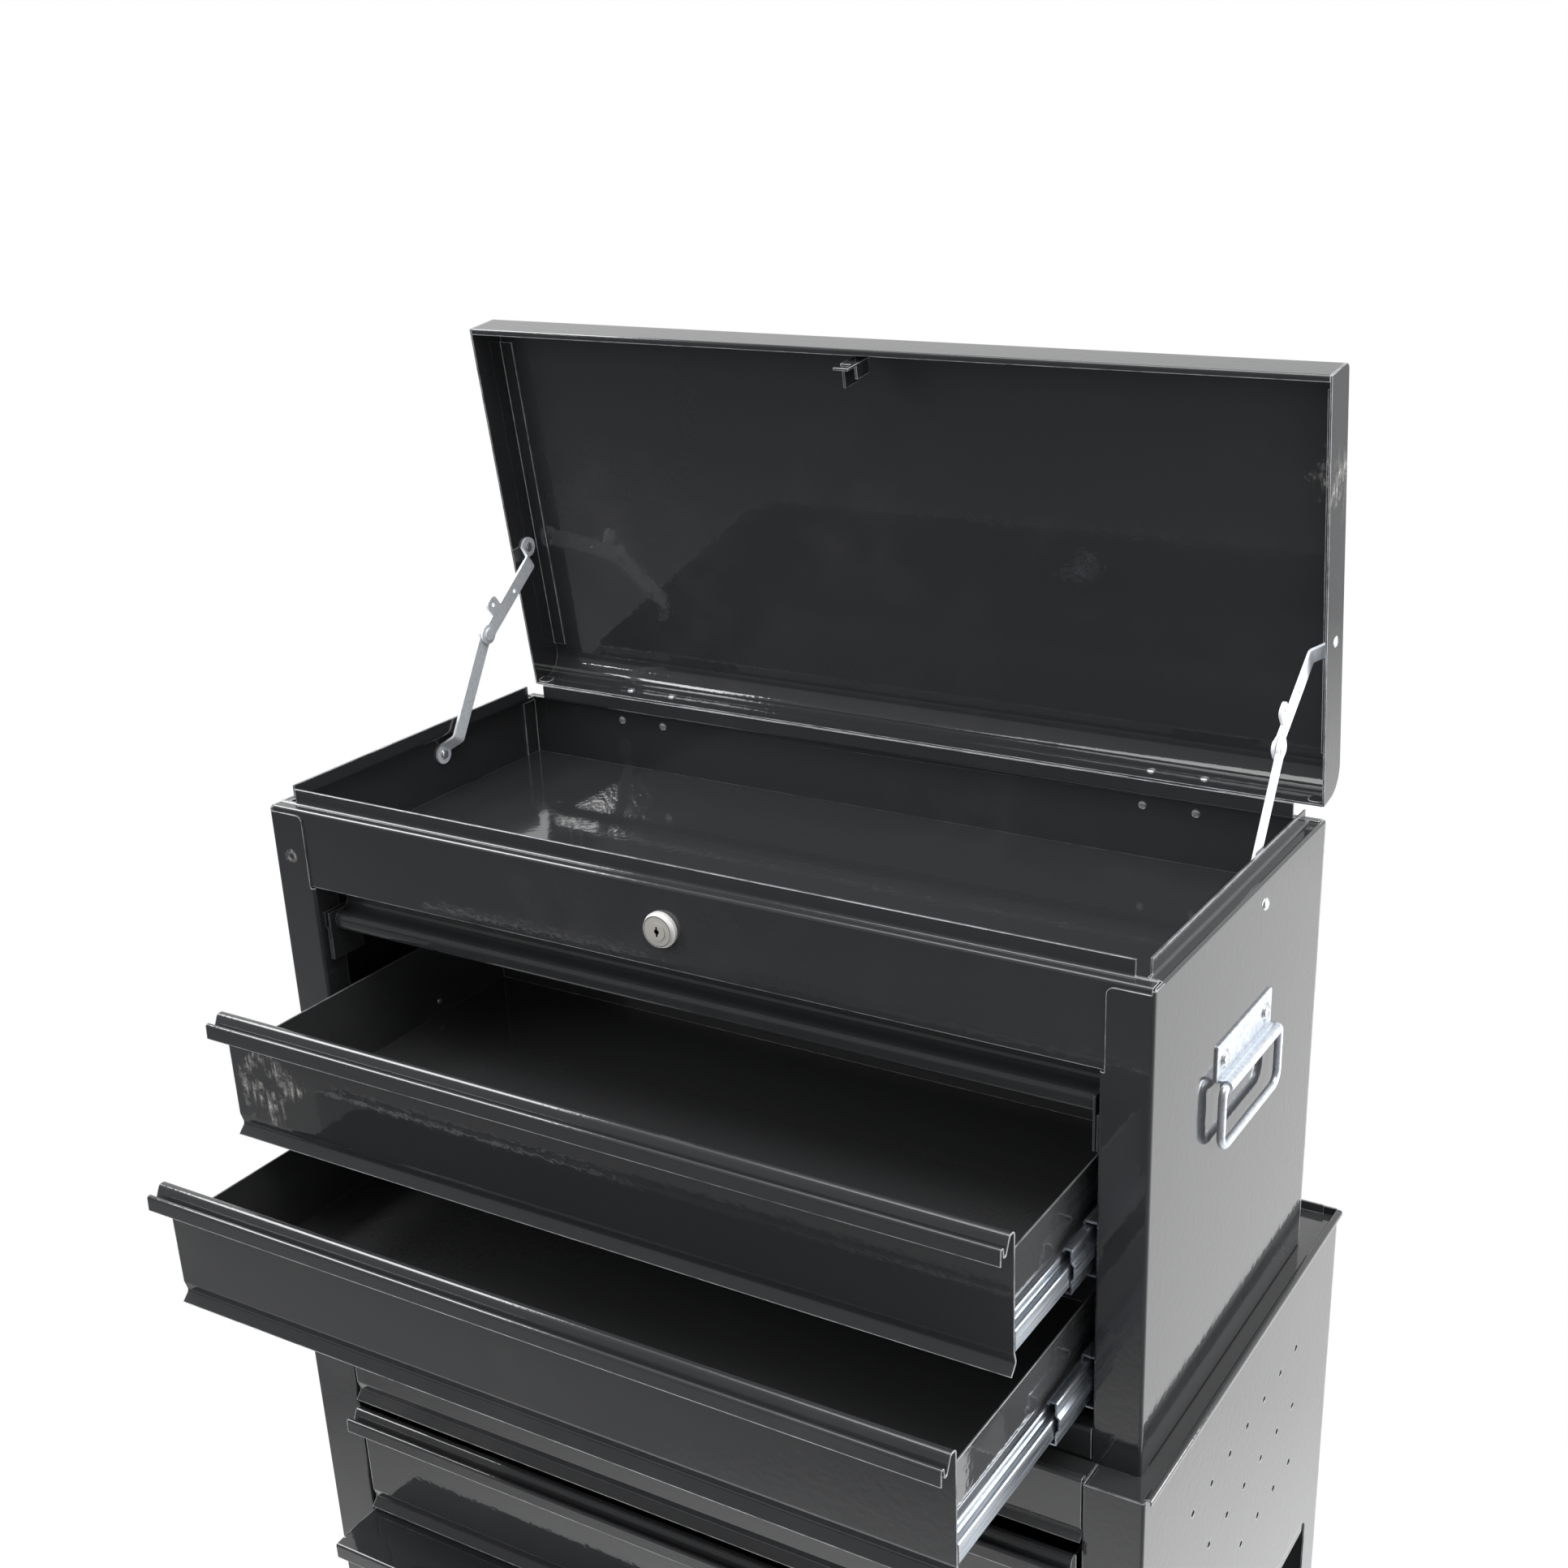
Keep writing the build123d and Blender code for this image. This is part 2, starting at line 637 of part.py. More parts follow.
# ---- rivets of the shell and of the lid -------------------------------------------------------
stay_grip = stay_t + sheet
stay_head_t = 1.6
lid_head_t = 1.0                     # thinner, because the closed lid sits in the side's plane
leaf_rivet = (leaf_hole_r, leaf_t + sheet, 3.0, 1.4)
with BuildPart() as body_rivets:
    for x in (side_in - stay_t, -half):
        rivet(across(chest, x), stay_hole, stay_rivet_r, stay_grip, stay_head_r, stay_head_t)
    rivet(facing(chest, chest_d + leaf_t), leaf_spots, *leaf_rivet)
save(body_rivets, "body_rivets")

with BuildPart() as lid_rivets:
    for x in (cap_x - stay_t, -lid_half):
        rivet(across(lid, x), pivot, stay_rivet_r, stay_grip, stay_head_r, lid_head_t)
    rivet(facing(lid, lid_face + leaf_t), lid_spots, *leaf_rivet)
save(lid_rivets, "lid_rivets")

# ---- lock ------------------------------------------------------------------------------------------
barrel_end = 13.5
flange_t = 2.2
bezel_t = 4.8
nut_r = 12.2
nut_t = 3.0
key_slot = (1.3, 6.0, 6.4)           # wide, deep and high
key_round = 1.7                      # radius of the keyhole's round middle
plug_out = 0.5                       # of the plug, ahead of its bezel
cam_t = 1.5
cam_pin_r = 1.5
with BuildPart() as lock_body:
    disc(facing(chest, barrel_end), [(0, lock_z)], lock_r - fit, barrel_end - sheet + bezel_t)
    disc(facing(chest, sheet), [(0, lock_z)], flange_r, flange_t)
    disc(facing(chest, sheet), [(0, lock_z)], bezel_r, bezel_t)
    bore_l = barrel_end + bezel_t + 2 * cut
    disc(facing(chest, barrel_end + cut), [(0, lock_z)], plug_r + fit, bore_l, Mode.SUBTRACT)
    with BuildSketch(facing(chest, 2 * sheet + nut_t)) as nut:
        with Locations((0, lock_z)):
            RegularPolygon(nut_r, 6)
            Circle(lock_r - fit, mode=Mode.SUBTRACT)
    extrude(nut.sketch, amount=nut_t, dir=(0, -1, 0))
save(lock_body, "lock_body")

plug_front = sheet - bezel_t - plug_out
cam_y = barrel_end + 1
with BuildPart() as lock_plug:
    disc(facing(chest, cam_y), [(0, lock_z)], plug_r, cam_y - plug_front)
    block(
        chest, (-key_slot[0] / 2, key_slot[0] / 2), (plug_front - cut, plug_front + key_slot[1]),
        (lock_z - key_slot[2] / 2, lock_z + key_slot[2] / 2), Mode.SUBTRACT,
    )
    keyhole = facing(chest, plug_front + key_slot[1])
    disc(keyhole, [(0, lock_z)], key_round, key_slot[1] + cut, Mode.SUBTRACT)
save(lock_plug, "lock_plug")

with BuildPart() as lock_cam:
    z = (lock_z - cam_w / 2, lock_z + cam_w / 2)
    block(chest, (-cam_reach, 0), (cam_y, cam_y + cam_t), z)
    disc(facing(chest, cam_y + cam_t), [(0, lock_z)], cam_w, cam_t)
    disc(facing(chest, cam_y + 3 * cam_t), [(0, lock_z)], cam_w / 2, 2 * cam_t)
    disc(facing(chest, cam_y + cam_t), [(-cam_reach, lock_z)], cam_w / 2, cam_t)
    disc(facing(chest, cam_y), [(-cam_reach, lock_z)], cam_pin_r, 2 * cam_t)
save(lock_cam, "lock_cam")

# ---- side handles -------------------------------------------------------------------------------
bail_x = half + bail_off
curl_fit = 0.1
curl_r = bail_r + curl_fit + sheet + 0.05
curl_w = bail_w - 2 * bail_bend - 2 * seat
bail_corner = 9.0
bail_end_gap = 2.0                   # where the wire's ends meet inside the curl
plate_low = bail_z + 1.0
with BuildPart() as handle_plates:
    centre = (handle_y, (handle_top + plate_low) / 2)
    rounded(across(chest, half), centre, (handle_w, handle_top - plate_low), 3, sheet)
    rail = facing(chest, handle_y + curl_w / 2)
    disc(rail, [(bail_x, bail_z)], curl_r, curl_w)
    block(
        chest, (half, bail_x), (handle_y - curl_w / 2, handle_y + curl_w / 2),
        (bail_z + curl_r - 2 * sheet, bail_z + curl_r - 0.8),
    )
    bore = bail_r + curl_fit
    disc(rail.offset(-cut), [(bail_x, bail_z)], bore, curl_w + 2 * cut, Mode.SUBTRACT)
    through = across(chest, half - cut)
    disc(through, handle_screws, screw_r + fit, sheet + 2 * cut, Mode.SUBTRACT)
    add(mirror(handle_plates.part, about=Plane.YZ, mode=Mode.PRIVATE))
save(handle_plates, "handle_plates")

screw_head = (4.6, 2.2)
with BuildPart() as screws:
    rivet(across(chest, side_in), handle_screws, screw_r, 2 * sheet, *screw_head)
    add(mirror(screws.part, about=Plane.YZ, mode=Mode.PRIVATE))
save(screws, "handle_screws")

with BuildPart() as handle_bail_right:
    arm_y = bail_w / 2
    bail = Plane(
        origin=chest.from_local_coords((bail_x, handle_y, bail_z)), x_dir=(0, 1, 0), z_dir=(1, 0, 0)
    )
    with BuildLine(bail) as loop:
        FilletPolyline(
            (bail_end_gap / 2, 0), (arm_y, 0), (arm_y, -bail_drop),
            (-arm_y, -bail_drop), (-arm_y, 0), (-bail_end_gap / 2, 0),
            radius=[bail_bend, bail_corner, bail_corner, bail_bend],
        )
    with BuildSketch(Plane(origin=loop.line @ 0, z_dir=loop.line % 0)):
        Circle(bail_r)
    sweep()
handle_bail_left = mirrored(handle_bail_right)
save(handle_bail_right, "handle_bail_right")
save(handle_bail_left, "handle_bail_left")

# ---- slides ------------------------------------------------------------------------------------------


def channel(web, lip, height, curl):
    """Line of a C section: web and lip are distances from the rail's seat."""
    edge = height / 2
    upper = [(web, edge), (lip, edge), (lip, edge - curl)]
    return [(u, -v) for u, v in reversed(upper)] + upper


fixed_line = channel(0, slide_t - 3.2, slide_h, 3.0)
mid_web = (4.0, 2.2)                 # of the middle member at its edges and along its middle
jog = (4.0, 6.0)                     # between these heights its web steps over
mid_edge = channel(mid_web[0], slide_t - 2.7, mid_h, 2.7)
mid_line = mid_edge[:3] + [
    (mid_web[0], -jog[1]), (mid_web[1], -jog[0]), (mid_web[1], jog[0]), (mid_web[0], jog[1]),
] + mid_edge[3:]
member_edge = member_h / 2
member_web = slide_t - 7.1
member_bead = slide_t - 2.6          # outer face of the bead above the box
member_step = 4.0                    # where the box ends and the bead begins
member_line = [
    (slide_t, -member_edge), (member_web, -member_edge), (member_web, member_step),
    (member_bead, member_step), (member_bead, member_edge), (slide_t, member_edge),
]


def slide(rail_x, centre_z, y_front, length, line, side, radius=1.4):
    """One slide member on the right, and its twin on the left."""
    points = [(rail_x - u, centre_z + v) for u, v in line]
    left = [(-x, z) for x, z in points]
    other = Side.RIGHT if side == Side.LEFT else Side.LEFT
    plane = facing(chest, y_front + length)
    folded(plane, points, radius, length, slide_wall, side)
    folded(plane, left, radius, length, slide_wall, other)


post_in = half - post_w              # rail seat on the chest posts
cab_post_in = cab_half - cab_post_w  # rail seat on the cabinet posts
chest_rail_y = slide_front
cab_rail_y = cab_front + slide_front
strap_w = 16.0                       # of the bracket behind a rail
strap_on = 5.0                       # of it along the rail
guard_x = post_in - slip             # channel beside the lip
guard_z = (lip_low - 18.5, lip_low + 14.5)
guard_y = (slide_front, slide_front + 28.0)
guard_step = lip_low + 3.5           # above this its outer side stands against the post
guard_sides = (0.0, 1.5, 3.7)        # outer side above and below the step, and inner side

with BuildPart() as slide_fixed_rails:
    bays = [
        (post_in, drawer_1_z, chest_rail_y, chest_slide_l, rear_in),
        (post_in, drawer_2_z, chest_rail_y, chest_slide_l, rear_in),
        (cab_post_in, drawer_a_z, cab_rail_y, cab_slide_l, cab_back - sheet),
        (cab_post_in, drawer_b_z, cab_rail_y, cab_slide_l, cab_back - sheet),
    ]
    for rail_x, low, y, length, rear in bays:
        centre = low + slide_z
        slide(rail_x, centre, y, length, fixed_line, Side.LEFT)
        for s in (-1, 1):
            x = sorted((s * (rail_x - slide_wall), s * rail_x))
            z = (centre - strap_w / 2, centre + strap_w / 2)
            block(chest, x, (y + length - strap_on, rear), z)
save(slide_fixed_rails, "slide_fixed_rails")

with BuildPart() as lip_guards:
    spans = [(guard_step, guard_z[1]), (guard_z[0], guard_step), guard_z]
    for s in (-1, 1):
        for away, z in zip(guard_sides, spans):
            x = sorted((s * (guard_x - away), s * (guard_x - away - sheet)))
            block(chest, x, guard_y, z)
        x = sorted((s * guard_x, s * (guard_x - guard_sides[-1] - sheet)))
        block(chest, x, (guard_y[1] - sheet, guard_y[1]), guard_z)
save(lip_guards, "lip_guards")

# ---- drawers -----------------------------------------------------------------------------------------
cove_h = 14.0                        # of the hollow along a front's lower edge
cove_in = 3.2
cove_out = 2.6
pull_slope = 12.6                    # from the face's top down to the valley
pull_flat = 5.0                      # of the pull's rear ridge
hem_drop = 3.0                       # of the front ridge below the rear one
valley = 11.0                        # its distance ahead of the face
hem_rise = 0.6                       # how far the front ridge stands ahead of the valley
pull_bends = [4, 4, 2.9, 2.9, 1.2, 1.6, 1.6]
tray_gap = 3.6                       # from a tray's front edge to the face
tab_depth = 6.0


def drawer(name, width, height, wall, depth, low, face_y, rail_x, rail_y, rail_l, pulled):
    """One drawer: folded front with its full-width pull, tray, slide members, middle members."""
    top = low + height
    wall_x = rail_x - slide_t
    back = face_y + depth
    with BuildPart() as front:
        folded(
            across(chest, -width / 2),
            [
                (face_y - cove_out, low), (face_y + cove_in, low + 6),
                (face_y + thin, low + cove_h), (face_y + thin, top),
                (face_y - pull_flat, top), (face_y - valley, top - pull_slope),
                (face_y - valley - hem_rise, top - hem_drop),
                (face_y - handle_reach + hem_lean, top - hem_drop),
                (face_y - handle_reach, top - pull_slope),
            ],
            pull_bends, width, thin,
        )
    save(front, f"{name}_front")
    floor_z = low + tray_lift
    with BuildPart() as tray:
        folded(
            facing(chest, back),
            [
                (-wall_x, floor_z + wall - tray_lift), (-wall_x, floor_z),
                (wall_x, floor_z), (wall_x, floor_z + wall - tray_lift),
            ],
            fold_r, depth - tray_gap, thin,
        )
        for s in (-1, 1):
            x = sorted((s * (wall_x - thin), s * wall_x))
            block(chest, x, (face_y + thin, face_y + tab_depth), (low + cove_h + 2, low + wall))
        x = (thin - wall_x, wall_x - thin)
        block(chest, x, (back - thin, back), (floor_z + thin / 2, low + wall))
    save(tray, f"{name}_tray")
    centre = low + slide_z
    with BuildPart() as members:
        slide(rail_x, centre, rail_y - pulled, rail_l, member_line, Side.LEFT)
    save(members, f"{name}_rails")
    with BuildPart() as middles:
        mid_y = rail_y - mid_ahead - mid_ratio * pulled
        slide(rail_x, centre, mid_y, rail_l - mid_less, mid_line, Side.LEFT)
    save(middles, f"{name}_mid_rails")


chest_size = (drawer_w, drawer_h, drawer_h - wall_drop, drawer_depth)
chest_rail = (post_in, chest_rail_y, chest_slide_l)
cab_size = (cab_drawer_w, cab_drawer_h, cab_drawer_h - wall_drop, cab_drawer_depth)
cab_rail = (cab_post_in, cab_rail_y, cab_slide_l)
drawer("chest_drawer_upper", *chest_size, drawer_1_z, -pull_1, *chest_rail, pull_1)
drawer("chest_drawer_lower", *chest_size, drawer_2_z, -pull_2, *chest_rail, pull_2)
drawer("cabinet_drawer_upper", *cab_size, drawer_a_z, cab_front, *cab_rail, 0)
drawer("cabinet_drawer_lower", *cab_size, drawer_b_z, cab_front, *cab_rail, 0)

# ---- cabinet ---------------------------------------------------------------------------------------
wall_in = cab_half - sheet           # inner face of a cabinet side
cab_rear_in = cab_back - sheet       # front face of the back panel
post_depth = 20.0
hem_out = 3.5
flange_w = 72.0
flange_t = 2.4
flange_start = 15.5                  # of the bottom flange, behind the post's face
hem_drop_out = 3.6                   # how far the hem's outer edge turns down
window_r = 8.0
side_top = 2.0
pegs = [
    (cab_back - peg_back - i * peg_pitch, peg_top - j * peg_row)
    for i in range(7) for j in range(3)
]
caster_in = 47.0                     # of a caster's plate centre, from the cabinet's side
caster_from_end = 48.0
caster_x = cab_half - caster_in
caster_ys = (cab_front + caster_from_end, cab_back - caster_from_end)
bolt_dx = 36.0
bolt_dy = 24.0
bolt_r = 3.0


def bolt_spots(x, y):
    return [(x + sx * bolt_dx, y + sy * bolt_dy) for sx in (-1, 1) for sy in (-1, 1)]


with BuildPart() as cabinet_side_right:
    block(chest, (wall_in, cab_half), (cab_front + fold_r, cab_rear_in), (cab_bottom, side_top))
    folded(
        facing(chest, cab_rear_in),
        [
            (wall_in, 0), (wall_in, cab_hem_h), (cab_half + hem_out, cab_hem_h),
            (cab_half + hem_out, cab_hem_h - hem_drop_out),
        ],
        hem_out / 2 - 0.05, cab_rear_in - cab_front - fold_r, sheet, Side.RIGHT,
    )
    folded(
        level(chest, cab_bottom),
        [
            (cab_post_in, cab_front + post_depth), (cab_post_in, cab_front),
            (cab_half, cab_front), (cab_half, cab_front + wrap),
        ],
        fold_r, side_top + 1 - cab_bottom, sheet,
    )
    block(
        chest, (cab_half - flange_w, wall_in + sheet / 2), (cab_front + flange_start, cab_rear_in),
        (cab_bottom, cab_bottom + flange_t),
    )
    window_y = (cab_front + window_front, cab_back - window_back)
    through = across(chest, wall_in - cut)
    rounded(
        through, (sum(window_y) / 2, (window_top + window_bottom) / 2),
        (window_y[1] - window_y[0], window_top - window_bottom), window_r,
        sheet + 2 * cut, Mode.SUBTRACT,
    )
    disc(through, pegs, peg_r, sheet + 2 * cut, Mode.SUBTRACT)
    under = level(chest, cab_bottom - cut)
    for y in caster_ys:
        spots = bolt_spots(caster_x, y)
        disc(under, spots, bolt_r + fit, flange_t + 2 * cut, Mode.SUBTRACT)
save(cabinet_side_right, "cabinet_side_right")
save(mirrored(cabinet_side_right), "cabinet_side_left")

with BuildPart() as cabinet_back:
    block(chest, (-cab_half, cab_half), (cab_rear_in, cab_back), (cab_bottom, cab_hem_h))
    for s in (-1, 1):
        x = sorted((s * (wall_in - sheet), s * wall_in))
        stops = (cab_bottom, bay_floor_z, divider_z, 0)
        for low, high in zip(stops, stops[1:]):
            z = (low + flange_end, high - flange_end)
            block(chest, x, (cab_rear_in - back_flange - 1, cab_rear_in), z)
save(cabinet_back, "cabinet_back")

plate_half = wall_in - slip
front_hem = 6.0                      # of the tray's front edge, folded back on itself
plate_y = (cab_front + post_depth + slip, cab_rear_in - slip)
tray_bends = [1.8, 1.8, 1.8, 1.8, 2.5, 2.2]
with BuildPart() as cabinet_tray:
    folded(
        across(chest, slip - cab_post_in),
        [
            (cab_rear_in - sheet, cab_hem_h + 1), (cab_rear_in - sheet, 0),
            (cab_front + front_hem, 0), (cab_front + front_hem, cab_hem_h),
            (cab_front, cab_hem_h), (cab_front, cab_rail_bottom + under_rail),
            (cab_front + 3.4, cab_rail_bottom + under_rail / 2 + 0.1),
            (cab_front - 1.4, cab_rail_bottom),
        ],
        tray_bends, 2 * (cab_post_in - slip), sheet,
    )
    for s in (-1, 1):
        x = sorted((s * (cab_post_in - 1), s * plate_half))
        block(chest, x, plate_y, (-sheet, 0))
        x = sorted((s * (cab_post_in + sheet + slip), s * plate_half))
        block(chest, x, (cab_front + fold_r, plate_y[0] + 1), (-sheet, 0))
        x = sorted((s * (cab_post_in - 1), s * (plate_half - 8)))
        y = (cab_rear_in - sheet, cab_rear_in)
        block(chest, x, y, (-sheet, cab_hem_h + 1))
save(cabinet_tray, "cabinet_tray")

with BuildPart() as cabinet_divider:
    block(chest, (-plate_half, plate_half), plate_y, (divider_z - sheet, divider_z))
save(cabinet_divider, "cabinet_divider")

with BuildPart() as cabinet_floor:
    folded(
        across(chest, slip - cab_post_in),
        [
            (plate_y[1], bay_floor_z), (cab_front, bay_floor_z),
            (cab_front, cab_bottom), (cab_front + base_flange, cab_bottom),
        ],
        fold_r, 2 * (cab_post_in - slip), sheet,
    )
    for s in (-1, 1):
        x = sorted((s * (cab_post_in - 1), s * plate_half))
        block(chest, x, plate_y, (bay_floor_z - sheet, bay_floor_z))
save(cabinet_floor, "cabinet_floor")

channel_x = cab_post_in + 4
channel_y = (cab_front + post_depth + 1, cab_rear_in - 20)
with BuildPart() as door_channels:
    high = door_pin_z + channel_h / 2 + sheet
    low = door_pin_z - channel_h / 2 - sheet
    for s, side in ((1, Side.LEFT), (-1, Side.RIGHT)):
        folded(
            facing(chest, channel_y[1]),
            [
                (s * channel_x, low), (s * wall_in, low),
                (s * wall_in, high), (s * channel_x, high),
            ],
            fold_r, channel_y[1] - channel_y[0], sheet, side,
        )
save(door_channels, "door_channels")

# ---- bulk bay door: swings up, then slides in on two rollers ------------------------------------
door_pin_y = cab_front - door_out + door_l
door_half = door_w / 2
door_edge = door_pin_y - door_l
cheek = 1.6                          # thickness of the door's side cheeks
cheek_r = 6.0
pin_behind = 9.0                     # of the pin's axis behind the panel's rear edge
door_slope = 20.0                    # the panel bows down over this much at its free edge
door_hem = 6.0
with BuildPart() as door_panel:
    folded(
        across(chest, -door_half),
        [
            (door_pin_y - pin_behind, door_z), (door_edge + door_slope, door_z),
            (door_edge, door_z - cheek), (door_edge, door_z - door_flange),
            (door_edge + door_hem, door_z - door_flange),
        ],
        [1.5 * door_slope, cheek, cheek], door_w, sheet,
    )
    pin_spot = [(door_pin_y, door_pin_z)]
    for s in (-1, 1):
        x = sorted((s * (door_half - cheek), s * door_half))
        y = (door_edge + door_hem + 2, door_pin_y)
        block(chest, x, y, (door_pin_z - cheek_r, door_z - sheet / 2))
        disc(across(chest, x[0]), pin_spot, cheek_r, cheek)
        y = (door_pin_y - pin_behind - 0.5, door_pin_y + 4)
        block(chest, x, y, (door_pin_z, door_z - cheek - 1))
        hole = across(chest, x[0] - cut)
        disc(hole, pin_spot, door_pin_r + fit, cheek + 2 * cut, Mode.SUBTRACT)
save(door_panel, "door_panel")

with BuildPart() as door_pins:
    for s in (-1, 1):
        span = sorted((s * (door_half - 5), s * (wall_in - 3)))
        disc(across(chest, span[0]), pin_spot, door_pin_r, span[1] - span[0])
        wheel = sorted((s * (channel_x + 4), s * (wall_in - 8)))
        disc(across(chest, wheel[0]), pin_spot, roller_r, wheel[1] - wheel[0])
        head = sorted((s * (door_half - 5), s * (door_half - 3)))
        disc(across(chest, head[0]), pin_spot, cheek_r, head[1] - head[0])
save(door_pins, "door_pins")

# ---- casters: rigid pair on the left, swivel pair on the right -----------------------------------
plate_t = 3.0
plate_size = (90.0, 64.0)
plate_r = 6.0
fork_t = 3.0
fork_in = wheel_w / 2 + 2.0          # inner face of a fork's leg, from the wheel's middle
fork_half = 19.0                     # half the fork's crown
fork_foot = 11.0                     # half the width of a leg at the axle, and its toe
toe_half = 6.0
axle_out = 2.0                       # of the axle beyond each leg
race_t = 6.0
race_r = 20.0
king_r = 7.0                         # swivel pin
axle_z = cab_bottom - caster_h + wheel_r


def fork(x, y, crown_z):
    """Two legs, a crown and an axle, which trails inboard of the crown on the swivel side."""
    wheel_x = x - (trail if x > 0 else 0)
    for s in (-1, 1):
        leg = sorted((y + s * fork_in, y + s * (fork_in + fork_t)))
        shape(
            facing(chest, leg[1]),
            [
                (x - fork_half, crown_z), (x + fork_half, crown_z),
                (wheel_x + fork_foot, axle_z), (wheel_x + toe_half, axle_z - fork_foot),
                (wheel_x - toe_half, axle_z - fork_foot), (wheel_x - fork_foot, axle_z),
            ],
            fork_t,
        )
    block(
        chest, (x - fork_half, x + fork_half), (y - fork_in - fork_t, y + fork_in + fork_t),
        (crown_z - plate_t, crown_z),
    )
    reach = fork_in + fork_t + axle_out
    disc(facing(chest, y + reach), [(wheel_x, axle_z)], axle_r, 2 * reach)
    return wheel_x


with BuildPart() as caster_mounts:
    for x in (-caster_x, caster_x):
        for y in caster_ys:
            rounded(level(chest, cab_bottom - plate_t), (x, y), plate_size, plate_r, plate_t)
            through = level(chest, cab_bottom - plate_t - cut)
            disc(through, bolt_spots(x, y), bolt_r + fit, plate_t + 2 * cut, Mode.SUBTRACT)
    for y in caster_ys:
        fork(-caster_x, y, cab_bottom - plate_t)
        king = level(chest, cab_bottom - plate_t - race_t + seat)
        disc(king, [(caster_x, y)], king_r, race_t - seat)
save(caster_mounts, "caster_mounts")

fork_top = cab_bottom - plate_t - seat
pedal = (34.0, 8.0)                  # brake pedal, from its rear and front edges to the axle
pedal_z = axle_z + wheel_r + 6.0
for name, y in zip(("front", "rear"), caster_ys):
    with BuildPart() as caster_fork:
        wheel_x = fork(caster_x, y, fork_top - race_t + plate_t)
        disc(level(chest, fork_top - race_t), [(caster_x, y)], race_r, race_t)
        hole = level(chest, fork_top - race_t - plate_t - cut)
        disc(hole, [(caster_x, y)], king_r + fit, race_t + plate_t + 2 * cut, Mode.SUBTRACT)
        block(
            chest, (wheel_x - pedal[0], wheel_x - pedal[1]),
            (y - fork_in - fork_t, y + fork_in + fork_t), (pedal_z - plate_t, pedal_z),
        )
        for s in (-1, 1):
            leg = sorted((y + s * fork_in, y + s * (fork_in + fork_t)))
            block(chest, (wheel_x - fork_foot - 1, wheel_x + 4), leg, (axle_z + 12, pedal_z))
    save(caster_fork, f"caster_fork_{name}")

dish_t = 5.0                         # depth of the hollow in each side of a wheel
hub_r = 12.0
rim_t = 10.0
tread_r = 4.0
for side, x in (("left", -caster_x), ("right", caster_x - trail)):
    for name, y in zip(("front", "rear"), caster_ys):
        with BuildPart() as wheel:
            disc(facing(chest, y + wheel_w / 2), [(x, axle_z)], wheel_r, wheel_w)
            for s in (-1, 1):
                deep = (wheel_w - dish_t) / 2
                with BuildSketch(facing(chest, y + s * deep + dish_t / 2)) as dish:
                    with Locations((x, axle_z)):
                        Circle(wheel_r - rim_t)
                        Circle(hub_r, mode=Mode.SUBTRACT)
                extrude(dish.sketch, amount=dish_t, dir=(0, -1, 0), mode=Mode.SUBTRACT)
            disc(facing(chest, y + wheel_w), [(x, axle_z)], axle_r + fit, 2 * wheel_w, Mode.SUBTRACT)
            outer = faces().filter_by(GeomType.CYLINDER).sort_by(SortBy.RADIUS)[-1]
            fillet(outer.edges().filter_by(GeomType.CIRCLE), tread_r)
        save(wheel, f"wheel_{side}_{name}")

bolt_head = (4.9, 3.0)
nut_h = 4.0
with BuildPart() as caster_bolts:
    for x in (-caster_x, caster_x):
        for y in caster_ys:
            spots = bolt_spots(x, y)
            under = level(chest, cab_bottom - plate_t)
            disc(under, spots, bolt_r, plate_t + flange_t)
            disc(under.offset(-bolt_head[1]), spots, *bolt_head)
            disc(level(chest, cab_bottom + flange_t), spots, bolt_head[0], nut_h)
save(caster_bolts, "caster_bolts")
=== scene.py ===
"""Finishes, fastener heads, studio and camera for the rolling tool chest."""
import json
import math

import bmesh
import bpy
from mathutils import Matrix, Vector


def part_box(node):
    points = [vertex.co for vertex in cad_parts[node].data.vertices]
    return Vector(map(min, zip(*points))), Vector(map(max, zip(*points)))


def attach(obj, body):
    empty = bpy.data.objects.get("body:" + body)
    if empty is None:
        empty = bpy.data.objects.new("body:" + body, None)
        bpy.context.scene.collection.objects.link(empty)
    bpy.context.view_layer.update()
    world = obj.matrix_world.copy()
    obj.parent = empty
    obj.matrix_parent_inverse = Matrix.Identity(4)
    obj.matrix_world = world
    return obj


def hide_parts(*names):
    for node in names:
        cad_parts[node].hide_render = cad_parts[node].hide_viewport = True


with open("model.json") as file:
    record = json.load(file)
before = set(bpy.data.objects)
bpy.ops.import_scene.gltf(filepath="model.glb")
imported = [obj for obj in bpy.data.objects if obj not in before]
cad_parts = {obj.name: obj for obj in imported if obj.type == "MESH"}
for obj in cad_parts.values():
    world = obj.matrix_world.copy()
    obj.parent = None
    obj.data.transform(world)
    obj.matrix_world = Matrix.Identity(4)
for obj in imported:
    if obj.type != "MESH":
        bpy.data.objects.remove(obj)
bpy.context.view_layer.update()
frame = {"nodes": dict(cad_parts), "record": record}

MM = 0.001
nodes = frame["nodes"]


# ---- node tree helpers ---------------------------------------------------------------------------
# numbers of sockets that share their names with others of the same node
MIX_COLOURS = (6, 7)
MIX_RESULT = 2
RANDOM_MAX = 3
RANDOM_FLOAT = 1


def feed(tree, socket, value):
    """Links a socket to another, or sets it to a plain value."""
    if isinstance(value, bpy.types.NodeSocket):
        tree.links.new(value, socket)
    else:
        socket.default_value = value


def fill(tree, made, inputs):
    """Feeds a node's inputs by name, with a space for each underscore."""
    for name, value in inputs.items():
        feed(tree, made.inputs[name.replace("_", " ")], value)


def new_node(tree, kind, **inputs):
    made = tree.nodes.new(kind)
    fill(tree, made, inputs)
    return made


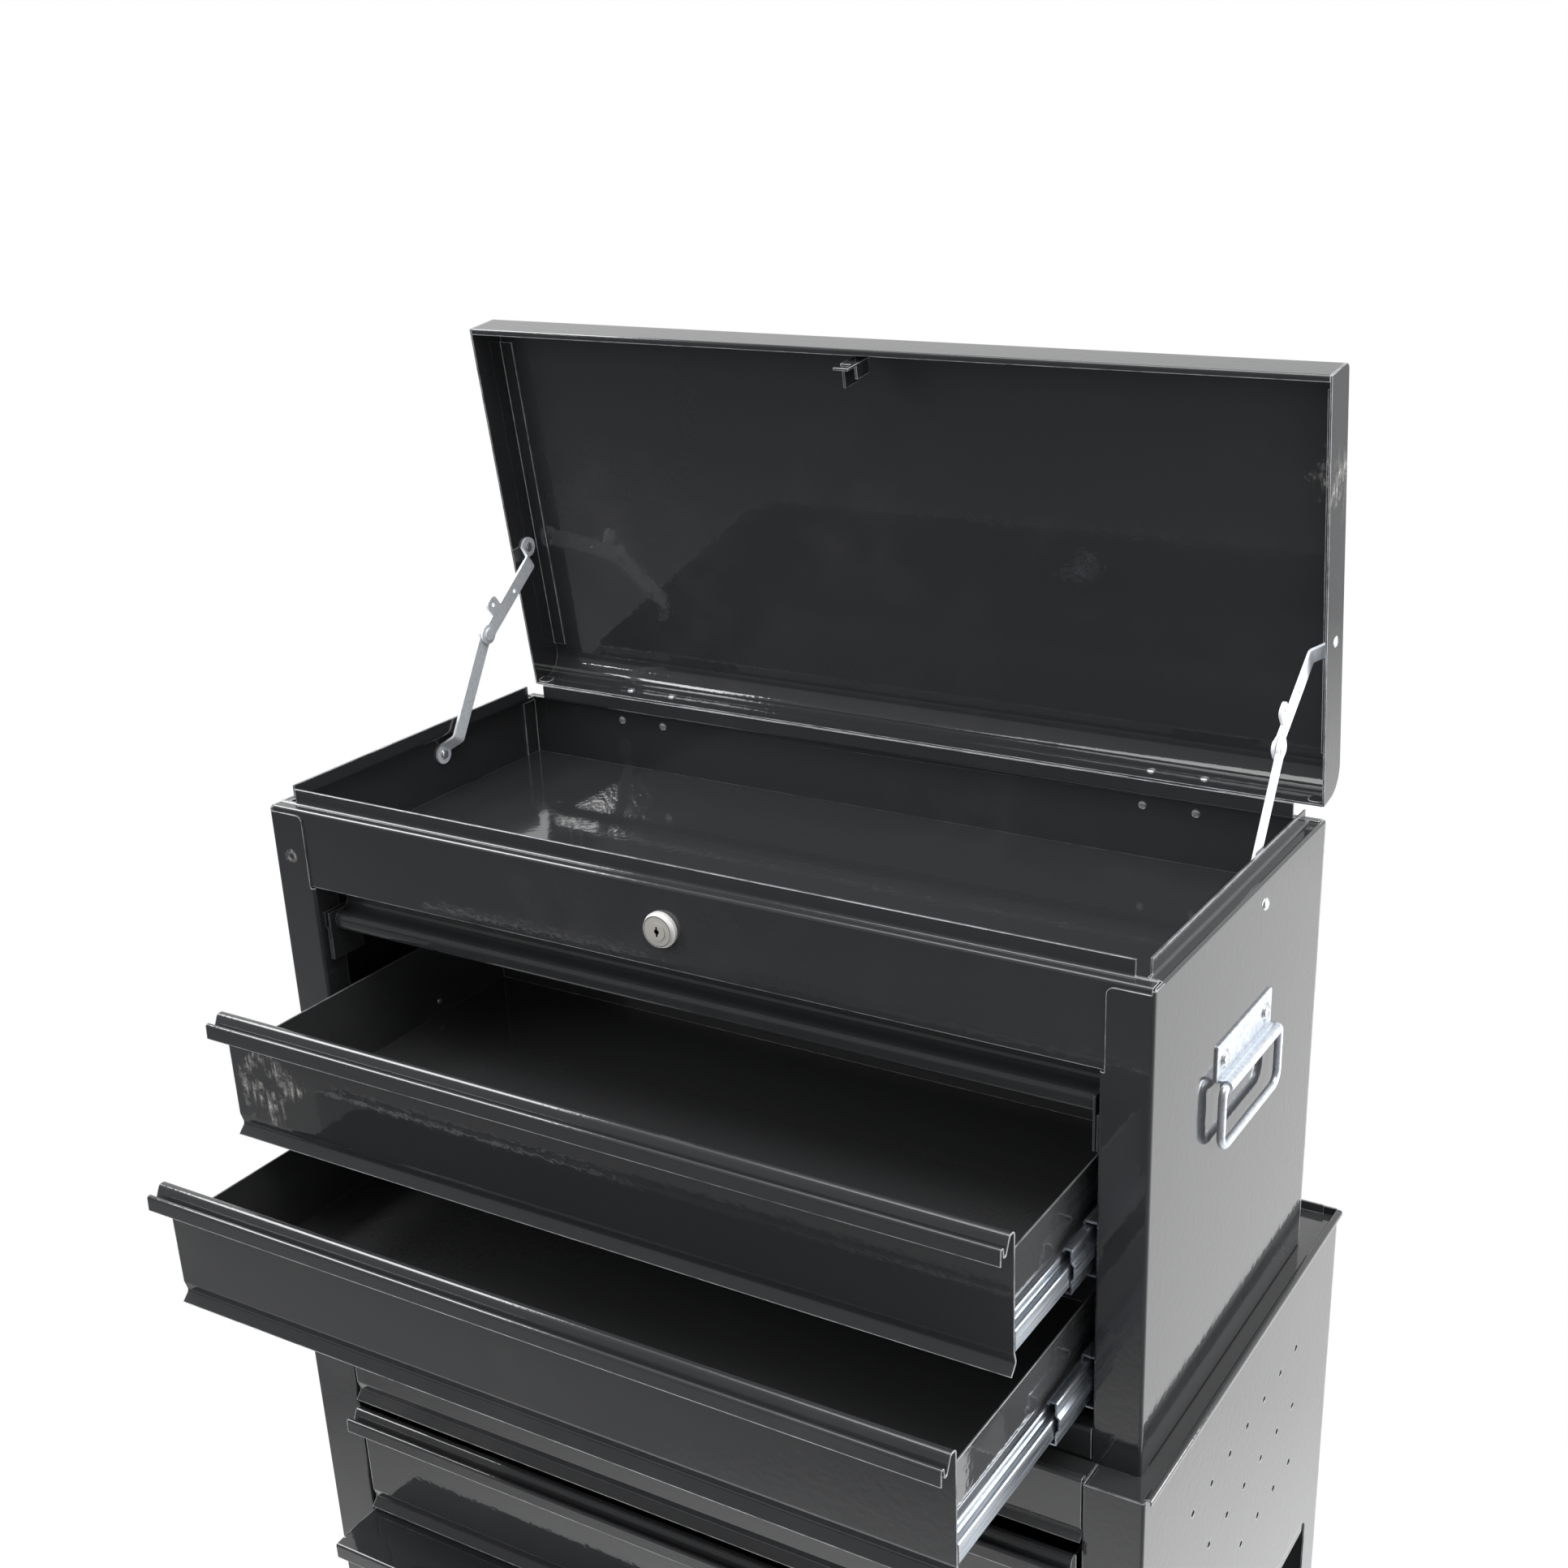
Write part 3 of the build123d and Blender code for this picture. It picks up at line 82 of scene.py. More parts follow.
def noise(tree, coords, scale, detail=3.0, roughness=0.5):
    """Cloudy values from 0 to 1."""
    made = new_node(
        tree, "ShaderNodeTexNoise", Vector=coords, Scale=scale, Detail=detail, Roughness=roughness
    )
    return made.outputs["Fac"]


def remap(tree, value, low, high, to_low=0.0, to_high=1.0):
    """A value stretched from one range to another and held inside it."""
    made = new_node(
        tree, "ShaderNodeMapRange", Value=value, From_Min=low, From_Max=high, To_Min=to_low,
        To_Max=to_high,
    )
    return made.outputs["Result"]


def blend_colour(tree, factor, first, second):
    made = tree.nodes.new("ShaderNodeMix")
    made.data_type = "RGBA"
    tree.links.new(factor, made.inputs["Factor"])
    for number, value in zip(MIX_COLOURS, (first, second)):
        solid = not isinstance(value, bpy.types.NodeSocket)
        feed(tree, made.inputs[number], (*value, 1.0) if solid else value)
    return made.outputs[MIX_RESULT]


def math_node(tree, operation, first, second=0.0):
    made = tree.nodes.new("ShaderNodeMath")
    made.operation = operation
    for socket, value in zip(made.inputs, (first, second)):
        feed(tree, socket, value)
    return made.outputs[0]


def vector_node(tree, operation, first, second=None):
    """Outputs of vector maths: 0 is the vector and Value the number."""
    made = tree.nodes.new("ShaderNodeVectorMath")
    made.operation = operation
    feed(tree, made.inputs[0], first)
    if second is not None:
        feed(tree, made.inputs[1], second)
    return made.outputs


def axis_of(tree, vector, axis):
    """One of a vector's X, Y and Z."""
    return new_node(tree, "ShaderNodeSeparateXYZ", Vector=vector).outputs[axis]


def group(name, inputs, outputs):
    """An empty shader node group with named sockets."""
    made = bpy.data.node_groups.new(name, "ShaderNodeTree")
    for label, kind, value in inputs:
        socket = made.interface.new_socket(label, in_out="INPUT", socket_type=kind)
        if value is not None:
            socket.default_value = value
    for label, kind in outputs:
        made.interface.new_socket(label, in_out="OUTPUT", socket_type=kind)
    return made, made.nodes.new("NodeGroupInput").outputs, made.nodes.new("NodeGroupOutput").inputs


# ---- effects that several finishes share ---------------------------------------------------------
ZINC_EDGE = 0.4 * MM        # radius to which worn edges look rounded
COAT_EDGE = 0.9 * MM
BEVEL_SAMPLES = 6
# cosine of a face's angle to its rounded edge, where the wear and painted highlight start and where they
# are full
EDGE_COSINE = (0.985, 0.88)
# (times the scale, noise with no smudge, noise with a full one)
SMUDGE_LAYERS = ((1.0, 0.50, 0.72), (6.0, 0.40, 0.70))
# strokes of the marks of scuffed coat and painted sheen, and their outside, inside and uneven outline in
# shares of their radius
STROKE_TURN = (0.0, 0.6, 0.0)
STROKE_STRETCH = (1, 1, 0.12)
SCUFF_OUTSIDE = (2.3, 1.9)
SCUFF_INSIDE = (1.5, 1.8)
SCUFF_UNEVEN = 2.6


def edge_wear_and_highlight_group():
    """Mask that is 1 along sheet edges and folds, thinned here and there, for edges bare from wear and a
    painted highlight on them, and their softened normal.
    """
    tree, given, out = group(
        "edge_wear_and_highlight",
        [("Vector", "NodeSocketVector", None), ("Radius", "NodeSocketFloat", COAT_EDGE),
         ("Amount", "NodeSocketFloat", 0.5)],
        [("Mask", "NodeSocketFloat"), ("Normal", "NodeSocketVector")],
    )
    bevel = new_node(tree, "ShaderNodeBevel", Radius=given["Radius"])
    bevel.samples = BEVEL_SAMPLES
    rounded = bevel.outputs["Normal"]
    flat = tree.nodes.new("ShaderNodeNewGeometry").outputs["Normal"]
    cosine = vector_node(tree, "DOT_PRODUCT", rounded, flat)["Value"]
    edge = remap(tree, cosine, *EDGE_COSINE)
    grain = noise(tree, given["Vector"], scale=60.0, detail=4.0, roughness=0.65)
    patchy = remap(tree, grain, low=0.34, high=0.56, to_low=0.35)
    kept = math_node(tree, "MULTIPLY", patchy, given["Amount"])
    tree.links.new(math_node(tree, "MULTIPLY", edge, kept), out["Mask"])
    tree.links.new(rounded, out["Normal"])
    return tree


def ripple_group():
    """Height of a sprayed coat: a fine ripple over a slow waviness of the sheet."""
    tree, given, out = group(
        "coat_ripple",
        [("Vector", "NodeSocketVector", None), ("Fine", "NodeSocketFloat", 210.0),
         ("Slow", "NodeSocketFloat", 7.0), ("Slow Share", "NodeSocketFloat", 5.0)],
        [("Height", "NodeSocketFloat")],
    )
    fine = noise(tree, given["Vector"], scale=given["Fine"], detail=1.5)
    slow = noise(tree, given["Vector"], scale=given["Slow"], detail=1.0)
    slow = math_node(tree, "MULTIPLY", slow, given["Slow Share"])
    tree.links.new(math_node(tree, "ADD", fine, slow), out["Height"])
    return tree


def dust_group():
    """Sparse light specks."""
    tree, given, out = group(
        "dust_specks",
        [("Vector", "NodeSocketVector", None), ("Scale", "NodeSocketFloat", 150.0),
         ("Amount", "NodeSocketFloat", 0.05)],
        [("Mask", "NodeSocketFloat")],
    )
    cells = new_node(tree, "ShaderNodeTexVoronoi", Vector=given["Vector"], Scale=given["Scale"])
    speck = remap(tree, cells.outputs["Distance"], low=0.06, high=0.02)
    rare = math_node(tree, "LESS_THAN", cells.outputs["Color"], given["Amount"])
    tree.links.new(math_node(tree, "MULTIPLY", speck, rare), out["Mask"])
    return tree


def smudge_group():
    """Cloudy handling marks: wide soft patches with finer smears inside them."""
    tree, given, out = group(
        "handling_smudges",
        [("Vector", "NodeSocketVector", None), ("Scale", "NodeSocketFloat", 5.0)],
        [("Mask", "NodeSocketFloat")],
    )
    masks = []
    for times, low, high in SMUDGE_LAYERS:
        scale = math_node(tree, "MULTIPLY", given["Scale"], times)
        masks.append(remap(tree, noise(tree, given["Vector"], scale, detail=4.0), low, high))
    tree.links.new(math_node(tree, "MULTIPLY", *masks), out["Mask"])
    return tree


def scuff_and_sheen_group():
    """Powdery strokes round a clear middle, for scuffed coat and for a painted sheen on the lid's end."""
    tree, given, out = group(
        "scuff_and_sheen",
        [("Vector", "NodeSocketVector", None), ("Centre", "NodeSocketVector", None),
         ("Radius", "NodeSocketFloat", 20 * MM)],
        [("Mask", "NodeSocketFloat")],
    )
    coords = given["Vector"]
    away = vector_node(tree, "DISTANCE", coords, given["Centre"])["Value"]
    warp = noise(tree, coords, scale=45.0, detail=4.0, roughness=0.6)
    ring = math_node(tree, "DIVIDE", away, given["Radius"])
    ring = math_node(tree, "ADD", ring, math_node(tree, "MULTIPLY", warp, SCUFF_UNEVEN))
    inside = remap(tree, ring, *SCUFF_OUTSIDE)
    hollow = remap(tree, ring, *SCUFF_INSIDE)
    strokes = new_node(
        tree, "ShaderNodeMapping", Vector=coords, Rotation=STROKE_TURN, Scale=STROKE_STRETCH
    ).outputs["Vector"]
    streaks = remap(tree, noise(tree, strokes, scale=500.0, roughness=0.6), low=0.42, high=0.62)
    grain = noise(tree, coords, scale=110.0, detail=5.0, roughness=0.7)
    grain = remap(tree, grain, low=0.42, high=0.58)
    mask = math_node(tree, "MULTIPLY", inside, math_node(tree, "MULTIPLY", streaks, grain))
    mask = math_node(tree, "MULTIPLY", mask, hollow)
    tree.links.new(mask, out["Mask"])
    return tree


EDGE_WEAR_AND_HIGHLIGHT = edge_wear_and_highlight_group()
COAT_RIPPLE = ripple_group()
DUST_SPECKS = dust_group()
SMUDGES = smudge_group()
SCUFF_AND_SHEEN = scuff_and_sheen_group()


def place(tree, effect, coords, **inputs):
    """Puts a shared effect into a material, with its own values."""
    made = tree.nodes.new("ShaderNodeGroup")
    made.node_tree = effect
    fill(tree, made, dict(inputs, Vector=coords))
    return made.outputs


def start_material(name):
    made = bpy.data.materials.new(name)
    made.use_nodes = True
    tree = made.node_tree
    shader = tree.nodes["Principled BSDF"]
    coords = tree.nodes.new("ShaderNodeTexCoord").outputs["Object"]
    return made, tree, shader, coords


def bump(tree, height, strength, distance, **under):
    """Normal of a rough surface, over another normal where one is given."""
    made = new_node(
        tree, "ShaderNodeBump", Height=height, Strength=strength, Distance=distance, **under
    )
    return made.outputs["Normal"]


# ---- materials -----------------------------------------------------------------------------------
COAT_DARK = (0.026, 0.027, 0.029)
COAT_LIGHT = (0.033, 0.034, 0.036)
SMUDGED = (0.30, 0.29, 0.28)
DUSTED = (0.35, 0.35, 0.36)
# scuffed coat, and on the lid's end a painted sheen
SCUFFED_AND_SHEEN = (0.50, 0.49, 0.47)
# edges bare from wear, lightened further as a painted highlight
BARE_AND_LIT_EDGE = (0.78, 0.80, 0.83)
CHROME_TONES = ((0.74, 0.73, 0.71), (0.84, 0.83, 0.81))
RUBBER_TONES = ((0.022, 0.022, 0.022), (0.05, 0.049, 0.047))
LOCK_FACE = (0.56, 0.545, 0.51)
# the rim's own polish, painted near white as its highlight
LOCK_RIM_AND_HIGHLIGHT = (0.92, 0.92, 0.91)
# painted shade in the groove line round the face and in the keyhole
LOCK_GROOVE_SHADE = (0.05, 0.05, 0.05)
KEYHOLE_SHADE = (0.015, 0.015, 0.015)
SCUFF_RAISED = 0.6          # share of the scuffs in the coat's height
STAINED = 0.35              # share of the stains in the zinc's colour
LOCK_LINE = 9.3 * MM        # radius of the groove round the lock's face
KEYHOLE = 3.6 * MM          # radius that holds the keyhole


def scuff_and_sheen_places():
    """(centre, radius) of the marks: scuffed coat on a drawer front and on the left post, and a painted
    sheen on the lid's end.
    """
    low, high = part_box("chest_drawer_upper_front")
    drawer = Vector((low.x + 30 * MM, low.y + 14 * MM, (low.z + high.z) / 2 - 2 * MM))
    low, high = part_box("lid_end_right")
    end = Vector((high.x, low.y + 30 * MM, high.z - 68 * MM))
    low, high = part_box("chest_side_left")
    post = Vector((low.x + 14 * MM, low.y, high.z - 42 * MM))
    return ((drawer, 26 * MM), (end, 20 * MM), (post, 5 * MM))


def black_coat(name, dust=0.0, paler=0.0, edge_wear_and_light=1.0):
    """Gloss black powder coat: waviness, thin bright edges, bare from wear and with a painted highlight,
    smudges, scuffed marks with a painted sheen on the lid's end, and specks of dust.
    """
    made, tree, shader, coords = start_material(name)
    edge = place(tree, EDGE_WEAR_AND_HIGHLIGHT, coords, Radius=COAT_EDGE, Amount=edge_wear_and_light)
    specks = place(tree, DUST_SPECKS, coords, Scale=70.0, Amount=0.06 + dust)["Mask"]
    smudge = place(tree, SMUDGES, coords, Scale=5.0)["Mask"]
    scuffs_and_sheen = 0.0
    for centre, radius in scuff_and_sheen_places():
        mark = place(tree, SCUFF_AND_SHEEN, coords, Centre=centre, Radius=radius)["Mask"]
        scuffs_and_sheen = math_node(tree, "ADD", mark, scuffs_and_sheen)
    cloud = noise(tree, coords, scale=3.0, detail=2.0)
    # paler lifts the coat's colour; on the drawer trays it is painted light
    dark, light = [[value + paler for value in colour] for colour in (COAT_DARK, COAT_LIGHT)]
    base = blend_colour(tree, cloud, dark, light)
    # smudges and specks are dirt; the scuffed marks are rubbed coat, and on the lid's end a painted sheen
    for mask, share, tint in ((smudge, 0.05, SMUDGED), (specks, 0.5, DUSTED), (scuffs_and_sheen, 0.8, SCUFFED_AND_SHEEN)):
        base = blend_colour(tree, math_node(tree, "MULTIPLY", mask, share), base, tint)
    # edges bare from wear, and lightened further as a painted highlight along edges and folds
    base = blend_colour(tree, edge["Mask"], base, BARE_AND_LIT_EDGE)
    tree.links.new(base, shader.inputs["Base Color"])
    haze = noise(tree, coords, scale=9.0)
    rough = remap(tree, haze, low=0.3, high=0.7, to_low=0.05, to_high=0.09 + dust)
    for mask, share in ((smudge, 0.10), (scuffs_and_sheen, 0.30)):
        rough = math_node(tree, "ADD", rough, math_node(tree, "MULTIPLY", mask, share))
    tree.links.new(rough, shader.inputs["Roughness"])
    height = place(tree, COAT_RIPPLE, coords)["Height"]
    height = math_node(tree, "ADD", height, math_node(tree, "MULTIPLY", scuffs_and_sheen, SCUFF_RAISED))
    normal = bump(tree, height, strength=0.10, distance=0.6 * MM, Normal=edge["Normal"])
    tree.links.new(normal, shader.inputs["Normal"])
    tree.links.new(normal, shader.inputs["Coat Normal"])
    shader.inputs["IOR"].default_value = 1.6
    shader.inputs["Coat Weight"].default_value = 0.6
    shader.inputs["Coat Roughness"].default_value = 0.02
    return made


def bright_zinc(name, dark, light, metallic, along=(1, 1, 1), rough=(0.26, 0.42)):
    """Zinc-plated steel, faintly blue, with drawn streaks along one axis and darker stains."""
    made, tree, shader, coords = start_material(name)
    drawn = new_node(tree, "ShaderNodeMapping", Vector=coords, Scale=along).outputs["Vector"]
    streak = noise(tree, drawn, scale=420.0, detail=4.0, roughness=0.6)
    stain = place(tree, SMUDGES, coords, Scale=22.0)["Mask"]
    base = blend_colour(tree, remap(tree, streak, low=0.32, high=0.68), dark, light)
    base = blend_colour(tree, math_node(tree, "MULTIPLY", stain, STAINED), base, dark)
    tree.links.new(base, shader.inputs["Base Color"])
    shader.inputs["Metallic"].default_value = metallic
    tree.links.new(remap(tree, streak, 0.3, 0.7, *rough), shader.inputs["Roughness"])
    edge = place(tree, EDGE_WEAR_AND_HIGHLIGHT, coords, Radius=ZINC_EDGE, Amount=1.0)
    normal = bump(tree, streak, strength=0.10, distance=0.4 * MM, Normal=edge["Normal"])
    tree.links.new(normal, shader.inputs["Normal"])
    return made


def polished_chrome():
    """Chrome with a faint haze."""
    made, tree, shader, coords = start_material("polished_chrome")
    haze = noise(tree, coords, scale=120.0)
    tree.links.new(blend_colour(tree, haze, *CHROME_TONES), shader.inputs["Base Color"])
    rough = remap(tree, haze, low=0.3, high=0.7, to_low=0.14, to_high=0.22)
    tree.links.new(rough, shader.inputs["Roughness"])
    shader.inputs["Metallic"].default_value = 0.8
    return made


def lock_chrome():
    """A brushed warm face with painted shade in the keyhole and in a groove line round the face, and a
    polished rim painted near white as its highlight.
    """
    made, tree, shader, coords = start_material("lock_chrome")
    low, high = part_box("lock_body")
    away = vector_node(tree, "SUBTRACT", coords, (low + high) / 2)[0]
    across = vector_node(tree, "MULTIPLY", away, (1, 0, 1))[0]
    out = vector_node(tree, "LENGTH", across)["Value"]
    rim = remap(tree, out, low=LOCK_LINE, high=LOCK_LINE + 0.3 * MM)
    gap = math_node(tree, "ABSOLUTE", math_node(tree, "SUBTRACT", out, LOCK_LINE))
    groove = remap(tree, gap, low=0.4 * MM, high=0.15 * MM)
    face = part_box("lock_plug")[0].y
    sunk = remap(tree, axis_of(tree, coords, "Y"), low=face + 0.2 * MM, high=face + 0.4 * MM)
    middle = remap(tree, out, low=KEYHOLE + 0.2 * MM, high=KEYHOLE)
    # a polished rim, painted near white as its highlight
    base = blend_colour(tree, rim, LOCK_FACE, LOCK_RIM_AND_HIGHLIGHT)
    # painted shade inside the keyhole
    base = blend_colour(tree, math_node(tree, "MULTIPLY", sunk, middle), base, KEYHOLE_SHADE)
    # a painted shade line for the groove round the face
    base = blend_colour(tree, groove, base, LOCK_GROOVE_SHADE)
    tree.links.new(base, shader.inputs["Base Color"])
    for name, on_face, on_rim in (("Roughness", 0.38, 0.10), ("Metallic", 0.35, 0.15)):
        value = remap(tree, rim, low=0.0, high=1.0, to_low=on_face, to_high=on_rim)
        tree.links.new(value, shader.inputs[name])
    return made


def tread_rubber():
    """Dull grained rubber, paler where it is dusty."""
    made, tree, shader, coords = start_material("tread_rubber")
    grain = noise(tree, coords, scale=600.0)
    cloud = noise(tree, coords, scale=18.0)
    tree.links.new(blend_colour(tree, cloud, *RUBBER_TONES), shader.inputs["Base Color"])
    rough = remap(tree, cloud, low=0.3, high=0.7, to_low=0.55, to_high=0.75)
    tree.links.new(rough, shader.inputs["Roughness"])
    tree.links.new(bump(tree, grain, strength=0.15, distance=0.3 * MM), shader.inputs["Normal"])
    return made


BLACK = black_coat("black_powder_coat")
DUSTY_BLACK = black_coat("dusty_black_coat", dust=0.04)
# the trays' coat is made paler: painted light inside the drawers
TRAY_LIT_BLACK = black_coat("tray_lit_black_coat", paler=0.022, edge_wear_and_light=0.5)
GUARD_BLACK = black_coat("guard_black_coat", edge_wear_and_light=0.2)
ZINC = bright_zinc("bright_zinc", dark=(0.56, 0.61, 0.68), light=(0.78, 0.81, 0.85), metallic=0.75)
SLIDE_ZINC = bright_zinc(
    "drawn_zinc", dark=(0.36, 0.41, 0.47), light=(0.66, 0.70, 0.75), metallic=0.95,
    along=(1, 0.03, 1), rough=(0.22, 0.36),
)
# a paler, nearly matt copy of the zinc: painted light on the stays, which the lid shades
STAY_ZINC_LIT = bright_zinc("stay_zinc_painted_light", dark=(0.76, 0.81, 0.88), light=(0.92, 0.95, 0.98), metallic=0.1)
BRIGHT_HEAD = bright_zinc(
    "bright_rivet", dark=(0.72, 0.75, 0.79), light=(0.86, 0.88, 0.90), metallic=0.8,
    rough=(0.14, 0.26),
)
CHROME = polished_chrome()
LOCK_CHROME = lock_chrome()
RUBBER = tread_rubber()
BY_SLOT = {"black_paint": BLACK, "zinc": ZINC, "chrome": CHROME, "tread": RUBBER}
# (start or end of a node's name, its finish)
BY_NAME = (
    ("rails", SLIDE_ZINC), ("_tray", TRAY_LIT_BLACK), ("stay_", STAY_ZINC_LIT), ("till_floor", DUSTY_BLACK),
    ("lip_guards", GUARD_BLACK), ("lock_body", LOCK_CHROME), ("lock_plug", LOCK_CHROME),
)


def assign_finishes():
    """The record's material slots, and the finishes of pieces that differ from their slot."""
    for part in frame["record"]["subparts"]:
        name = part["node"]
        finish = BY_SLOT[part["material_slot"]]
        for clue, own in BY_NAME:
            if name.startswith(clue) or name.endswith(clue):
                finish = own
        slots = nodes[name].data.materials
        slots.clear()
        slots.append(finish)


assign_finishes()


# ---- fastener heads ------------------------------------------------------------------------------
SAME_SPOT = 0.01 * MM       # vertices closer than this are one
AT_END = 0.1 * MM           # vertices this near a pin's end lie on its rim
# (radius, height) of the heads' profiles, as shares of the head's radius
DOME = ((1.0, 0.0), (0.97, 0.10), (0.86, 0.27), (0.66, 0.39), (0.36, 0.46), (0.0, 0.48))
PAN = ((1.25, 0.0), (1.25, 0.12), (0.95, 0.14), (0.94, 0.30), (0.80, 0.43), (0.45, 0.48), (0.0, 0.48))
HEX_TALL = 0.48
HEX = ((1.0, 0.0), (1.0, HEX_TALL * 0.85), (0.88, HEX_TALL), (0.0, HEX_TALL))
HEX_SIDES = 6
CROSS_BAR = (0.95, 0.2, 0.03)    # length, width and height of the bars of a cross
CROSS_UP = 0.49
HEAD_SEED = 1
TRAY_SHEET = 0.9 * MM
RIVET_R = 2.2 * MM
# (behind, above) a tray's lowest front corner
TRAY_RIVETS = ((177.4 * MM, 11 * MM), (20 * MM, 11 * MM))


def solids_of(node):
    """The vertices of each separate solid of a CAD node."""
    work = bmesh.new()
    work.from_mesh(nodes[node].data)
    bmesh.ops.remove_doubles(work, verts=work.verts, dist=SAME_SPOT)
    left = set(work.verts)
    found = []
    while left:
        todo = [left.pop()]
        solid = []
        while todo:
            vert = todo.pop()
            solid.append(vert)
            for edge in vert.link_edges:
                other = edge.other_vert(vert)
                if other in left:
                    left.remove(other)
                    todo.append(other)
        faces = {face for vert in solid for face in vert.link_faces}
        areas = {}
        for face in faces:
            key = tuple(round(abs(v), 2) for v in face.normal)
            areas.setdefault(key, [0.0, face.normal.copy()])[0] += face.calc_area()
        axis = max(areas.values(), key=lambda pair: pair[0])[1]
        found.append(([vert.co.copy() for vert in solid], axis.normalized()))
    work.free()
    return found


def head_spots(node, tall):
    """(foot of the head, outward axis, head radius) at both ends of each pin of a node."""
    spots = []
    for verts, axis in solids_of(node):
        middle = sum(verts, Vector()) / len(verts)
        along = [(vert - middle).dot(axis) for vert in verts]
        for end, sign in ((max(along), 1), (min(along), -1)):
            rim = [
                (vert - middle - axis * at).length
                for vert, at in zip(verts, along) if abs(at - end) < AT_END
            ]
            radius = max(rim)
            spots.append((middle + axis * (end - sign * tall * radius), axis * sign, radius))
    return spots


def turned_head(name, profile, sides=24, cross=False):
    """A head of radius 1 standing on the ground plane, from (radius, height) pairs."""
    work = bmesh.new()
    rings = []
    for radius, height in profile:
        if radius == 0.0:
            rings.append([work.verts.new((0, 0, height))])
            continue
        turn = [2 * math.pi * i / sides for i in range(sides)]
        rings.append([work.verts.new((radius * math.cos(t), radius * math.sin(t), height)) for t in turn])
    for low, high in zip(rings, rings[1:]):
        for i in range(sides):
            j = (i + 1) % sides
            if len(high) == 1:
                work.faces.new((low[i], low[j], high[0]))
            else:
                work.faces.new((low[i], low[j], high[j], high[i]))
    for face in work.faces:
        face.smooth = sides > HEX_SIDES
    if cross:
        for turn in (0, math.pi / 2):
            bar = Matrix.Rotation(turn, 4, "Z") @ Matrix.Diagonal((*CROSS_BAR, 1))
            bmesh.ops.create_cube(work, size=1.0, matrix=Matrix.Translation((0, 0, CROSS_UP)) @ bar)
    mesh = bpy.data.meshes.new(name)
    work.to_mesh(mesh)
    work.free()
    made = bpy.data.objects.new(name, mesh)
    bpy.context.scene.collection.objects.link(made)
    return made


def heads_tree():
    """Stands the head on every point, square to the point's axis and turned at random about it."""
    tree = bpy.data.node_groups.new("fastener_heads", "GeometryNodeTree")
    tree.is_modifier = True
    sockets = {}
    tree.interface.new_socket("Points", in_out="INPUT", socket_type="NodeSocketGeometry")
    for label, kind in (
        ("Head", "NodeSocketObject"), ("Finish", "NodeSocketMaterial"), ("Seed", "NodeSocketInt"),
    ):
        made = tree.interface.new_socket(label, in_out="INPUT", socket_type=kind)
        sockets[label] = made.identifier
    tree.interface.new_socket("Heads", in_out="OUTPUT", socket_type="NodeSocketGeometry")
    given = tree.nodes.new("NodeGroupInput").outputs
    out = tree.nodes.new("NodeGroupOutput").inputs
    stored = []
    for label, kind in (("axis", "FLOAT_VECTOR"), ("radius", "FLOAT")):
        made = tree.nodes.new("GeometryNodeInputNamedAttribute")
        made.data_type = kind
        made.inputs["Name"].default_value = label
        stored.append(made.outputs["Attribute"])
    aim = tree.nodes.new("FunctionNodeAlignRotationToVector")
    aim.axis = "Z"
    tree.links.new(stored[0], aim.inputs["Vector"])
    head = tree.nodes.new("GeometryNodeObjectInfo")
    tree.links.new(given["Head"], head.inputs["Object"])
    stand = tree.nodes.new("GeometryNodeInstanceOnPoints")
    tree.links.new(given["Points"], stand.inputs["Points"])
    tree.links.new(head.outputs["Geometry"], stand.inputs["Instance"])
    tree.links.new(aim.outputs["Rotation"], stand.inputs["Rotation"])
    tree.links.new(stored[1], stand.inputs["Scale"])
    spin = tree.nodes.new("FunctionNodeRandomValue")
    spin.data_type = "FLOAT"
    tree.links.new(given["Seed"], spin.inputs["Seed"])
    spin.inputs[RANDOM_MAX].default_value = math.pi
    about = tree.nodes.new("ShaderNodeCombineXYZ")
    tree.links.new(spin.outputs[RANDOM_FLOAT], about.inputs["Z"])
    turn = tree.nodes.new("GeometryNodeRotateInstances")
    tree.links.new(stand.outputs[0], turn.inputs["Instances"])
    tree.links.new(about.outputs[0], turn.inputs["Rotation"])
    real = tree.nodes.new("GeometryNodeRealizeInstances")
    tree.links.new(turn.outputs[0], real.inputs[0])
    coat = tree.nodes.new("GeometryNodeSetMaterial")
    tree.links.new(real.outputs[0], coat.inputs["Geometry"])
    tree.links.new(given["Finish"], coat.inputs["Material"])
    tree.links.new(coat.outputs[0], out[0])
    return tree, sockets


HEADS, HEAD_SOCKETS = heads_tree()
DOME_HEAD = turned_head("dome_head", DOME)
PAN_HEAD = turned_head("pan_head", PAN, cross=True)
HEX_HEAD = turned_head("hex_head", HEX, sides=HEX_SIDES)


